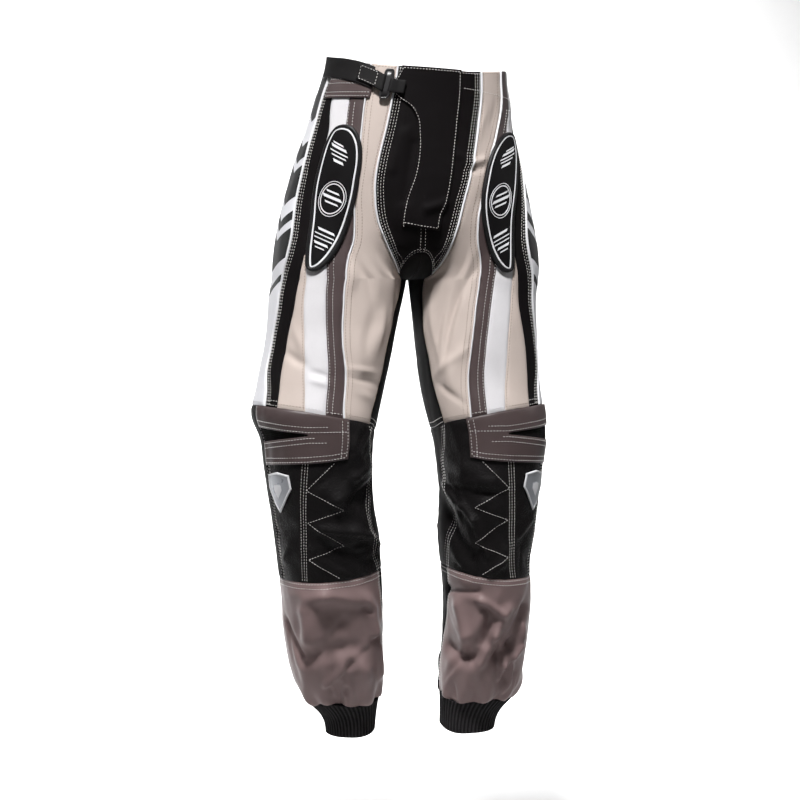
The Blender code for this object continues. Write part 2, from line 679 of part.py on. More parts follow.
def build_waist():
    """The back waistband, the waist patch and the belt on the wearer's right."""
    columns = 9
    part = np.linspace(0, 1, columns + 1)
    heights, grids = np.array((8, -14, -38), float), []
    for side in (RIGHT, LEFT):
        start = seam(side, "side_panel", heights)
        seam_share = start[:, None] + (99.6 - start)[:, None] * part
        nominal = np.repeat(heights[:, None], columns + 1, axis=1)
        height = level("thigh", side, seam_share, nominal)
        height[-1] += SEAM_GAP / 2
        share = seam_share.copy()
        share[:, 0] += SEAM_GAP / 2 / per_percent(side, share[:, 0], height[:, 0])
        grids.append([
            cloth(side, share, height, np.full(share.shape, lift), seam_share) for lift in (0.0, -CLOTH)
        ])
    outer, inner = (np.concatenate([grids[0][k], grids[1][k][:, ::-1]], axis=1) for k in (0, 1))
    sheet("back_waistband", outer, inner, BLACK, flip=True)

    shares = np.linspace(22.5, 44.5, 8)
    height = np.stack([np.full(8, -12.0), np.full(8, -27.0), np.full(8, -41.0)])
    share = np.repeat(shares[None, :], 3, axis=0)
    outer = cloth(RIGHT, share, height, np.full(share.shape, 1.3 + CLOTH))
    inner = cloth(RIGHT, share, height, np.full(share.shape, 1.3))
    sheet("waist_patch", outer, inner, TAUPE, flip=True)

    ribbon("belt_strap", [(s, 4.5) for s in np.linspace(52, 23.2, 11)], 15.5)
    ribbon("belt_tab", fold_round(29.6, 22.4, RING_MIDDLE + RING_HALF), 11.5)
    ribbon("belt_anchor", fold_round(11.2, 12.4, RING_MIDDLE - RING_HALF), 9.5)
    turn = 2 * math.pi * np.arange(20) / 20
    round_share = RING_MIDDLE + RING_HALF * np.sign(np.cos(turn)) * np.abs(np.cos(turn)) ** 0.4
    round_height = -20.5 + 20.5 * np.sign(np.sin(turn)) * np.abs(np.sin(turn)) ** 0.4
    ring("buckle_ring", round_share, round_height, (STRAP_UNDER + STRAP_OVER) / 2, RING_RADIUS)


BELT_LINE = Table(
    ("share", "height"),
    (56, 8),
    (46, 4),
    (36, 0),
    (29, -5),
    (22, -14),
    (18, -21),
    (11, -24),
)


def fold_round(top_end, under_end, bend):
    """A strap's path that goes over a bar, round it and back under: shares with millimetres out."""
    middle, radius = (STRAP_OVER + STRAP_UNDER) / 2, (STRAP_OVER - STRAP_UNDER) / 2
    toward = 1 if top_end > bend else -1
    outs = (7.3, 7.3, 8.4, STRAP_OVER)
    path = list(zip(np.interp((0, 0.5, 0.82, 1), (0, 1), (top_end, bend)), outs))
    for angle in (45, 90, 135):
        swing = math.radians(angle)
        path.append((bend - toward * radius * math.sin(swing) / 3.9, middle + radius * math.cos(swing)))
    return path + [(bend, STRAP_UNDER), (under_end, STRAP_UNDER)]


def ribbon(name, path, half_width):
    """A strap of even thickness along a path of shares and millimetres out, on the belt's own line."""
    path = np.array(path, float)
    flat = path * (3.9, 1.0)
    along = np.gradient(flat, axis=0)
    along /= np.linalg.norm(along, axis=1, keepdims=True)
    normal = np.stack([-along[:, 1], along[:, 0]], axis=-1)
    if normal[0, 1] < 0:
        normal = -normal
    grids = []
    for lift in (STRAP_THICKNESS / 2, -STRAP_THICKNESS / 2):
        moved = (flat + normal * lift) / (3.9, 1.0)
        share = np.repeat(moved[None, :, 0], 3, axis=0)
        out = np.repeat(moved[None, :, 1], 3, axis=0)
        height = BELT_LINE.at("height", share) + half_width * np.array((1, 0, -1))[:, None]
        grids.append(cloth(RIGHT, share, height, out))
    falling = path[0, 0] > path[-1, 0]
    sheet(name, grids[0], grids[1], BLACK, flip=not falling)


def ring(name, share, height, out, radius, sides=6):
    """A closed round bar along a loop on the cloth."""
    centre = cloth(RIGHT, share, height, np.full(share.shape, out))
    normal = outward(RIGHT, share, height)
    along = np.roll(centre, -1, axis=0) - np.roll(centre, 1, axis=0)
    along /= np.linalg.norm(along, axis=1, keepdims=True)
    beside = np.cross(along, normal)
    beside /= np.linalg.norm(beside, axis=1, keepdims=True)
    upright = np.cross(beside, along)
    angles = 2 * math.pi * np.arange(sides) / sides
    vertices = [c + radius * (math.cos(a) * b + math.sin(a) * u) for c, b, u in zip(centre, beside, upright) for a in angles]
    count = len(centre)
    faces = []
    for i in range(count):
        for k in range(sides):
            a, b = i * sides + k, i * sides + (k + 1) % sides
            c, d = ((i + 1) % count) * sides + (k + 1) % sides, ((i + 1) % count) * sides + k
            faces.append((d, c, b, a))
    make_object(name, vertices, faces, *METAL)


for thing in list(bpy.data.objects):
    bpy.data.objects.remove(thing, do_unlink=True)
for label, side in SIDES.items():
    build_side(label, side)
build_flap()
build_waist()
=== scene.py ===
# %% [markdown]
# # Motocross trousers
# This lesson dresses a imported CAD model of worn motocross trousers.
# The CAD model is the fixed frame: it says where every panel, strap and cuff is.
# Each cell below makes one kind of piece finer, or gives it its real finish.
# Sizes in the tables are in millimetres and in percent of the way round a leg.

# %% Load the frame
import itertools
import math

import bpy
import numpy as np
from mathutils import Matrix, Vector


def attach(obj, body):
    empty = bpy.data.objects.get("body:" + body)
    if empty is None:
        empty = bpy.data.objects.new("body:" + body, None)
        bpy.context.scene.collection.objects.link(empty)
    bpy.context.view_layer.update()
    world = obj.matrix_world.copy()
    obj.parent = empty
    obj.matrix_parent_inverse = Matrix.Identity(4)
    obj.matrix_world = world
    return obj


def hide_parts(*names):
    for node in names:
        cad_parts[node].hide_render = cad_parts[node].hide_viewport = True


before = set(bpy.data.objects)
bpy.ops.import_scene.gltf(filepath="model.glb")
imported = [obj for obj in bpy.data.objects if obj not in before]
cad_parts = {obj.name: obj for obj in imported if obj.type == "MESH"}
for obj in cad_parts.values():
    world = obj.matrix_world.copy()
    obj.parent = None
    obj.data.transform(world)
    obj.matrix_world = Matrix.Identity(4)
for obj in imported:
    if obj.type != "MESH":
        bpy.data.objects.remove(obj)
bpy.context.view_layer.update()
MM = 0.001
print("nodes in the frame:", len(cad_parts))

# %% [markdown]
# ## Camera
# The trousers are seen from the front, a little from the wearer's right, and from just above the middle.
# A long lens 4.2 m away keeps the waist and the cuffs at nearly the same scale, as a catalogue picture does.

# %% Camera
AZIMUTH, ELEVATION, DISTANCE = math.radians(-14), math.radians(1.5), 4.2
SENSOR, FRAME_WIDTH = 36.0, 1.2
PICTURE_SHIFT, PICTURE_MIDDLE = -0.0225, -0.48
right = Vector((math.cos(AZIMUTH), math.sin(AZIMUTH), 0))
reach = math.cos(ELEVATION)
back = Vector((math.sin(AZIMUTH) * reach, -math.cos(AZIMUTH) * reach, math.sin(ELEVATION)))
target = right * PICTURE_SHIFT + Vector((0, 0, PICTURE_MIDDLE))
camera_data = bpy.data.cameras.new("camera")
camera_data.sensor_width = SENSOR
camera_data.lens = SENSOR * DISTANCE / FRAME_WIDTH
camera = bpy.data.objects.new("camera", camera_data)
camera.location = target + back * DISTANCE
camera.rotation_mode = "QUATERNION"
camera.rotation_quaternion = (-back).to_track_quat("-Z", "Y")
bpy.context.scene.collection.objects.link(camera)
bpy.context.scene.camera = camera
print("lens:", round(camera_data.lens, 1), "mm")

# %% [markdown]
# ## Studio
# Black, white and satin cloth side by side need soft light from several sides.
# A small high key light shades the folds, and two weak side lights draw the edges of the black cloth.
# The other lights aim at the floor and the sweep alone, so that the background is pale and the cloth keeps
# its darks.

# %% Lights and world
GARMENT, SWEEP, FRONT_FLOOR = (0, 0, -0.75), (0, 2.9, -0.8), (0, -5.2, -1.2)
WORLD_STRENGTH = 0.06
LIGHTS = (
    ("name", "place", "size", "power", "spread", "aim"),
    ("key", (-0.7, -1.8, 2.5), 0.5, 17, 50, GARMENT),
    ("left_side", (-2.6, -0.5, 0.4), 1.0, 0.5, 60, GARMENT),
    ("right_side", (2.6, -0.8, 0.6), 1.0, 1.0, 60, GARMENT),
    ("sweep_left", (-2.4, 1.2, 1.8), 1.6, 90, 90, SWEEP),
    ("sweep_right", (2.4, 1.2, 1.8), 1.6, 90, 90, SWEEP),
    ("front_floor", (0.0, -4.8, 3.4), 2.6, 30, 75, FRONT_FLOOR),
)


def named_rows(table):
    """A table's rows as small dictionaries, by the names in its first row."""
    names, *rows = table
    return [dict(zip(names, row)) for row in rows]


for light in named_rows(LIGHTS):
    data = bpy.data.lights.new(light["name"], "AREA")
    data.size, data.energy, data.spread = light["size"], light["power"], math.radians(light["spread"])
    lamp = bpy.data.objects.new(light["name"], data)
    lamp.location = light["place"]
    lamp.rotation_mode = "QUATERNION"
    lamp.rotation_quaternion = (Vector(light["aim"]) - lamp.location).to_track_quat("-Z", "Y")
    bpy.context.scene.collection.objects.link(lamp)
world = bpy.data.worlds.new("studio")
world.use_nodes = True
world.node_tree.nodes["Background"].inputs["Color"].default_value = (1.0, 1.0, 1.0, 1)
world.node_tree.nodes["Background"].inputs["Strength"].default_value = WORLD_STRENGTH
bpy.context.scene.world = world
bpy.context.scene.view_settings.view_transform = "Standard"
print("lights:", len(LIGHTS) - 1)

# %% [markdown]
# ## Sweep
# The background is one sheet, flat under the trousers and curved up behind, so that no horizon shows.
# Its paint is a darker grey in a zone just in front of the trousers. A floor that is bright there would
# throw its light up under every fold, and the cloth would look flat.

# %% Helpers for node materials
def wired(tree, kind, settings=(), **inputs):
    """A node with its properties set and its inputs given as values or as sockets."""
    made = tree.nodes.new(kind)
    for key, value in settings:
        setattr(made, key, value)
    for key, value in inputs.items():
        socket = made.inputs[int(key[1:])] if key[0] == "_" else made.inputs[key.replace("_", " ")]
        if isinstance(value, bpy.types.NodeSocket):
            tree.links.new(value, socket)
        else:
            socket.default_value = value
    return made


def sums(tree, operation, first, second=0.0):
    """One step of arithmetic."""
    return wired(tree, "ShaderNodeMath", (("operation", operation),), _0=first, _1=second).outputs[0]


def ranged(tree, value, low, high, to_low, to_high):
    """A value moved from one range to another, and held at its ends."""
    return wired(tree, "ShaderNodeMapRange", _0=value, _1=low, _2=high, _3=to_low, _4=to_high).outputs[0]


print("materials so far:", len(bpy.data.materials))

# %% Pale sweep
FLOOR, SWEEP_FRONT, SWEEP_BACK, SWEEP_RADIUS = -1.16, -6.0, 2.6, 1.4
SWEEP_TOP, SWEEP_SIDE, SWEEP_STEPS = 5.0, 8.0, 24
DARK_MIDDLE, DARK_HALF, PALE_FROM, DARK_PAINT, PALE_PAINT = -1.2, 0.4, 1.9, 0.3, 0.93
profile = [(SWEEP_FRONT, FLOOR), (SWEEP_BACK, FLOOR)]
for step in range(1, SWEEP_STEPS + 1):
    turn = math.pi / 2 * step / SWEEP_STEPS
    profile.append((SWEEP_BACK + SWEEP_RADIUS * math.sin(turn), FLOOR + SWEEP_RADIUS * (1 - math.cos(turn))))
profile.append((SWEEP_BACK + SWEEP_RADIUS, SWEEP_TOP))
sweep_mesh = bpy.data.meshes.new("sweep")
sweep_mesh.from_pydata(
    [(x, y, z) for y, z in profile for x in (-SWEEP_SIDE, SWEEP_SIDE)], [],
    [(2 * i, 2 * i + 1, 2 * i + 3, 2 * i + 2) for i in range(len(profile) - 1)],
)
sweep_mesh.shade_smooth()
sweep = bpy.data.objects.new("sweep", sweep_mesh)
bpy.context.scene.collection.objects.link(sweep)
sweep_paint = bpy.data.materials.new("sweep_paint")
sweep_paint.use_nodes = True
tree = sweep_paint.node_tree
paint = tree.nodes["Principled BSDF"]
paint.inputs["Roughness"].default_value = 0.9
paint.inputs["Specular IOR Level"].default_value = 0.1
place = wired(tree, "ShaderNodeTexCoord").outputs["Object"]
depth = wired(tree, "ShaderNodeSeparateXYZ", _0=place).outputs["Y"]
away = sums(tree, "ABSOLUTE", sums(tree, "SUBTRACT", depth, DARK_MIDDLE))
tree.links.new(ranged(tree, away, DARK_HALF, PALE_FROM, DARK_PAINT, PALE_PAINT), paint.inputs["Base Color"])
sweep_mesh.materials.append(sweep_paint)
print("points in the sweep's profile:", len(profile))

# %% [markdown]
# ## The cut
# A trouser leg is a tube, and every seam on it can be given as a height and a share of the way round.
# The same short tables that cut the CAD solids are repeated here, so that each finer piece lies on its solid.
# A cubic curve through a table's rows gives a smooth line with few numbers.

# %% Tables and units
RIGHT, LEFT, BOTH = -1, 1, 0
SIDES = {"right": RIGHT, "left": LEFT}
CLOTH, SEAM_GAP, EDGE_INSET, MIDLINE_GAP = 1.6, 0.06, 0.08, 0.03
WAIST_TOP, CROTCH, RISE_BLEND, HIP_TOP, HIP_FOOT = 8.0, -300.0, 95.0, -150.0, -350.0
ARCH_TOP, ARCH_FOOT, YOKE_BEND = -244.0, -281.0, -210.0
SQUARENESS, TIP_SPREAD, WAIST_ROLL, ROLL_FOOT = 0.07, 0.55, 0.05, -150.0
# About how many millimetres of cloth are in one percent of the way round, on the hips and on the legs.
PERCENT_MM, LEG_PERCENT_MM = 4.6, 5.0


class Table:
    """A short table with named columns, read smoothly between its rows (first column descending)."""

    def __init__(self, columns, *rows):
        self.names = columns
        self.rows = np.array(rows, float)[::-1]

    def at(self, name, where):
        """The column's value at each place, on a cubic curve through the rows."""
        x = self.rows[:, 0]
        y = self.rows[:, self.names.index(name)]
        slope = np.gradient(y, x)
        where = np.clip(np.asarray(where, float), x[0], x[-1])
        i = np.clip(np.searchsorted(x, where, side="right") - 1, 0, len(x) - 2)
        step = x[i + 1] - x[i]
        t = (where - x[i]) / step
        return (
            y[i] * (1 + 2 * t) * (1 - t) ** 2
            + slope[i] * step * t * (1 - t) ** 2
            + y[i + 1] * t**2 * (3 - 2 * t)
            + slope[i + 1] * step * t**2 * (t - 1)
        )


print("cloth:", CLOTH, "mm thick, its seams", SEAM_GAP, "mm wide")

# %% Hips, legs and pose
TORSO = Table(
    ("height", "half_width", "front", "back"),
    (60, 137, 104, 108),
    (0, 139, 105, 110),
    (-30, 147, 106, 113),
    (-75, 156, 108, 118),
    (-120, 170, 110, 124),
    (-190, 187, 112, 130),
    (-255, 199, 112, 128),
    (-330, 202, 108, 118),
)
LEGS = Table(
    ("height", "half_gap", "right_width", "left_width", "centre_y", "half_depth", "tip"),
    (-205, 0, 196, 191, 8, 108, 26),
    (-300, 0, 206, 198, 8, 104, 26),
    (-322, 4, 204, 193, 7, 102, 20),
    (-355, 11, 197, 188, 2, 98, 10),
    (-390, 18, 191, 184, -3, 95, 4),
    (-457, 31, 189, 178, -12, 92, 0),
    (-502, 41, 186, 174, -20, 92, 0),
    (-535, 49, 167, 166, -23, 91, 0),
    (-570, 53, 160, 156, -24, 90, 0),
    (-637, 54, 153, 144, -18, 86, 0),
    (-682, 49, 155, 142, -8, 84, 0),
    (-727, 50, 152, 131, 2, 82, 0),
    (-772, 50, 152, 130, 12, 80, 0),
    (-840, 49, 147, 126, 28, 76, 0),
    (-885, 47, 139, 125, 38, 70, 0),
    (-912, 47, 128, 126, 44, 60, 0),
    (-935, 50, 108, 112, 49, 50, 0),
    (-952, 51, 88, 96, 52, 43, 0),
    (-1010, 52, 74, 80, 58, 39, 0),
)
POSE = Table(
    ("height", "shift", "turn"),
    (60, 4, 4),
    (0, 2, 4),
    (-75, -6, 3),
    (-190, -12, -2),
    (-300, -10, 0),
    (-400, -18, 0),
    (-502, -24, 0),
    (-570, -22, 0),
    (-682, -12, 0),
    (-772, 0, 0),
    (-1010, 2, 0),
)
# How far the back of each ankle hangs towards the other leg.
ANKLE_SKEW = Table(
    ("height", "right", "left"),
    (-820, 0, 0),
    (-870, 6, 0),
    (-900, 12, 0),
    (-940, 14, 0),
    (-1010, 14, 0),
)
TWIST = Table(
    ("height", "twist"),
    (60, -2.5),
    (-40, -2.5),
    (-120, 0),
    (-190, 2),
    (-260, 4),
    (-340, 3.4),
    (-420, 2.5),
    (-500, 2.2),
    (-600, 3),
    (-1010, 3),
)
print("hip width:", 2 * TORSO.at("half_width", -255), "mm")

# %% Seams and edges
THIGH_SEAMS = Table(
    ("height", "rise", "cream", "taupe", "white", "cream_side", "black", "side_panel"),
    (50, 14.5, 26, 33, 42.5, 42.5, 48, 58),
    (-20, 14.3, 24.5, 31.8, 41.8, 41.8, 47.6, 58.5),
    (-60, 13.8, 23, 30, 38.8, 38.8, 46.8, 59),
    (-90, 13.3, 21, 27.5, 35, 35, 44.7, 59),
    (-120, 12.7, 18.6, 25, 33, 33, 41.5, 58),
    (-150, 12, 17.2, 23.5, 31, 31, 38.8, 57),
    (-181, 11, 16.5, 23, 30, 30, 37, 56),
    (-212, 10, 16, 23, 29.5, 29.5, 36, 55.5),
    (-240, 8.3, 17, 23.8, 30, 30, 36, 56),
    (-265, 6.6, 19.5, 25, 30.8, 31.4, 37.2, 56.5),
    (-300, 5.5, 22, 26.5, 31.8, 33.8, 39.8, 58),
    (-345, 6.5, 22.8, 27, 32.5, 35.3, 41.2, 59),
    (-397, 8.2, 22, 26, 31.6, 37, 43.2, 60),
    (-440, 8.3, 20.2, 24.6, 30.4, 37.2, 43.4, 60),
    (-480, 9.3, 19.2, 23.8, 29, 36.5, 41.2, 59),
    (-525, 9.7, 18, 23, 27.5, 35.5, 40, 58),
)
LOWER_SEAMS = Table(
    ("height", "inner", "middle"),
    (-480, 9.5, 28.5),
    (-525, 7, 29),
    (-560, 5, 29.4),
    (-600, 6, 30.3),
    (-645, 8.5, 31.5),
    (-690, 8, 32.5),
    (-745, 6, 33.6),
    (-785, 5.5, 34),
    (-835, 3.5, 34),
    (-863, 1.5, 34),
    (-893, 0.5, 34),
    (-945, 0, 34),
)
EDGES = Table(
    ("share", "right_waist", "left_waist", "knee", "hem", "cuff", "end"),
    (100, 30, 30, -524, -727, -926, -977),
    (90, 29, 27, -522, -729, -921, -974),
    (75, 26, 21, -510, -735, -916, -972),
    (60, 20, 20, -492, -742, -925, -977),
    (45, 11, 20, -485, -744, -938, -985),
    (29, 10, 16, -493, -746, -936, -988),
    (18.5, 8, 11, -504, -741, -940, -988),
    (9, 7, 7, -514, -733, -934, -983),
    (4, 7, 7, -522, -729, -928, -979),
    (0, 7, 7, -524, -727, -926, -977),
)
TIERS = {
    "thigh": (WAIST_TOP, -500.0, "waist", "knee"),
    "knee": (-500.0, -745.0, "knee", "hem"),
    "calf": (-745.0, -940.0, "hem", "cuff"),
    "ankle": (-940.0, -1000.0, "cuff", "end"),
}
OUTER_KNEE_SEAM, OUTER_CALF_SEAM = 44.0, 56.0
PIPING_WIDTH, THIN_PIPING_WIDTH = 3.4, 2.8
print("upright seams:", len(THIGH_SEAMS.names) + len(LOWER_SEAMS.names) - 2)

# %% [markdown]
# ## From the cut to the worn form
# Above the crotch both legs share one oval; below it each leg is its own oval.
# Close to the midline the two are joined along a quarter circle, which makes the rounded crotch.
# The pull of the body turns the seams slightly, so the cut stays symmetric while the worn form does not.

# %% Sections of a leg and of the hips
def leg_section(side, share, height):
    """A leg's closed section from the midline: share 0 and 1 are the inseam, 0.5 the outer side."""
    angle = 2 * math.pi * (share % 1)
    width = LEGS.at("right_width" if side == RIGHT else "left_width", height)
    depth = LEGS.at("half_depth", height)
    out = -np.cos(angle) * (1 + SQUARENESS * np.sin(angle) ** 2)
    rear = -np.sin(angle) * (1 + SQUARENESS * np.cos(angle) ** 2)
    from_inseam = np.minimum(angle, 2 * math.pi - angle)
    tip = LEGS.at("tip", height) * np.exp(-from_inseam / TIP_SPREAD)
    base = LEGS.at("tip", height) * (1 + out) / -2 + LEGS.at("tip", height)
    x = np.maximum(LEGS.at("half_gap", height), 0) + width * (1 + out) / 2 + base - tip
    x = x - ANKLE_SKEW.at("right" if side == RIGHT else "left", height) * np.clip(rear, 0, 1)
    return x, LEGS.at("centre_y", height) + depth * rear


def torso_section(share, height):
    """Half of the torso's section: share 0 is the centre front, 0.5 the side, 1 the centre back."""
    angle = math.pi * (0.5 + share)
    out = -np.cos(angle) * (1 + SQUARENESS * np.sin(angle) ** 2)
    rear = -np.sin(angle) * (1 + SQUARENESS * np.cos(angle) ** 2)
    depth = np.where(rear < 0, TORSO.at("front", height), TORSO.at("back", height))
    return TORSO.at("half_width", height) * out, depth * rear


def plain_point(side, share, height):
    """The garment's surface with no folds and before the pose; share is in percent of the cut."""
    share, height = np.broadcast_arrays(np.asarray(share, float), np.asarray(height, float))
    share = share / 100
    low = np.clip((CROTCH - height) / 100, 0, 1)
    pull = low + (1 - low) * np.sin(math.pi * np.clip(share, 0, 1))
    share = share - side * TWIST.at("twist", height) / 100 * pull
    rise = np.clip((height - CROTCH) / RISE_BLEND, 0, 1)
    near_midline = np.abs(2 * np.clip(share, 0, 1) - 1) ** 3
    slow = np.clip((height - HIP_FOOT) / (HIP_TOP - HIP_FOOT), 0, 1)
    blend = near_midline * np.sin(rise * math.pi / 2) + (1 - near_midline) * slow * slow * (3 - 2 * slow)
    leg_x, leg_y = leg_section(side, share, height)
    torso_x, torso_y = torso_section(share, height)
    x = MIDLINE_GAP + (1 - blend) * leg_x + blend * torso_x
    y = (1 - blend) * leg_y + blend * torso_y
    z = height - near_midline * RISE_BLEND * (rise - 1 + np.cos(rise * math.pi / 2))
    return np.stack([side * x, y, z], axis=-1)


print("the right hip in mm:", np.round(plain_point(RIGHT, 50.0, -255.0)).tolist())

# %% Directions on the cloth, and the pose
def per_percent(side, share, height):
    """Millimetres of cloth for one percent of the way round."""
    step = 0.1
    ahead = plain_point(side, share + step, height)
    behind = plain_point(side, share - step, height)
    return np.linalg.norm(ahead - behind, axis=-1) / (2 * step)


def outward(side, share, height):
    """Unit normals, shared by the two panels that meet at a seam."""
    share, height = np.broadcast_arrays(np.asarray(share, float), np.asarray(height, float))
    above = height > CROTCH - 1e-6
    lower, upper = share - 0.2, share + 0.2
    lower = np.where(above, np.maximum(lower, 0), lower)
    upper = np.where(above, np.minimum(upper, 100), upper)
    across = plain_point(side, upper, height) - plain_point(side, lower, height)
    along = plain_point(side, share, height + 1) - plain_point(side, share, height - 1)
    normal = np.cross(across, along) * side
    on_midline = above & ((share < 1e-6) | (share > 100 - 1e-6))
    normal[..., 0] = np.where(on_midline, 0, normal[..., 0])
    at_crotch = on_midline & (height < CROTCH + 1e-6)
    normal[at_crotch] = (0, 0, -1)
    return normal / np.linalg.norm(normal, axis=-1, keepdims=True)


def pose(points):
    """Turns, rolls and shifts the points level by level, as worn."""
    x, y, z = np.moveaxis(np.asarray(points, float), -1, 0)
    turn = np.radians(POSE.at("turn", z))
    turned = x * np.cos(turn) - y * np.sin(turn)
    y = x * np.sin(turn) + y * np.cos(turn)
    roll = np.clip((z - ROLL_FOOT) / -ROLL_FOOT, 0, 1)
    roll = roll * roll * (3 - 2 * roll)
    shift = POSE.at("shift", z)
    return np.stack([turned + shift, y, z - WAIST_ROLL * turned * roll], axis=-1)


print("one percent of the way round the hip:", round(float(per_percent(RIGHT, 25.0, -181.0)), 2), "mm")

# %% [markdown]
# ## Folds and creases
# Worn cloth shows a few large folds, which the CAD solids have too, and many smaller creases.
# A simulation would place them anywhere, so each one is listed: a soft ridge or trough with its own
# length, width, depth and lean.
# The knees crease most, the calves hang in long soft pleats over the cuffs, and the thighs are the smoothest.

# %% The large folds of the solids
GATHERS, GATHER_DEPTH, GATHER_HEIGHT, GATHER_REACH = 10, 3.2, -928, 45
FOLD_COLUMNS = ("height", "share", "half_length", "half_width", "depth", "lean")
FOLDS = {
    RIGHT: (
        (-318, 15, 42, 15, 4.5, 0), (-395, 14, 40, 16, 3, -20), (-560, 14, 50, 12, 4, 38),
        (-600, 16, 46, 12, -4, 40), (-630, 19, 40, 12, 4, 48), (-700, 14, 40, 14, 5, 60),
        (-890, 26, 38, 8, -6, 0), (-850, 20, 60, 12, 4, 35), (-820, 33, 60, 12, 3, -30),
    ),
    LEFT: (
        (-352, 15, 60, 11, -6, 14), (-340, 10, 60, 13, 4, 10), (-440, 15, 38, 12, 3, -12),
        (-585, 18, 55, 12, 4, -70), (-640, 12, 60, 10, 4, -40), (-665, 9, 60, 12, -5, -38),
        (-700, 22, 40, 12, -4, 40), (-880, 30, 34, 8, -6, -12), (-840, 17, 60, 12, 4, 40),
        (-790, 24, 50, 12, 3, 35),
    ),
    BOTH: (
        (-130, 90, 50, 14, -3, 25), (-250, 88, 60, 16, -5, 50), (-285, 80, 60, 14, 4, 60),
        (-380, 86, 60, 16, -4, 20), (-555, 75, 60, 9, -5, 84), (-590, 78, 60, 10, 4, 88),
        (-625, 73, 60, 9, -5, 95), (-800, 78, 60, 14, 4, 20), (-870, 70, 45, 10, -5, -10),
    ),
}
print("large folds:", sum(len(rows) for rows in FOLDS.values()))

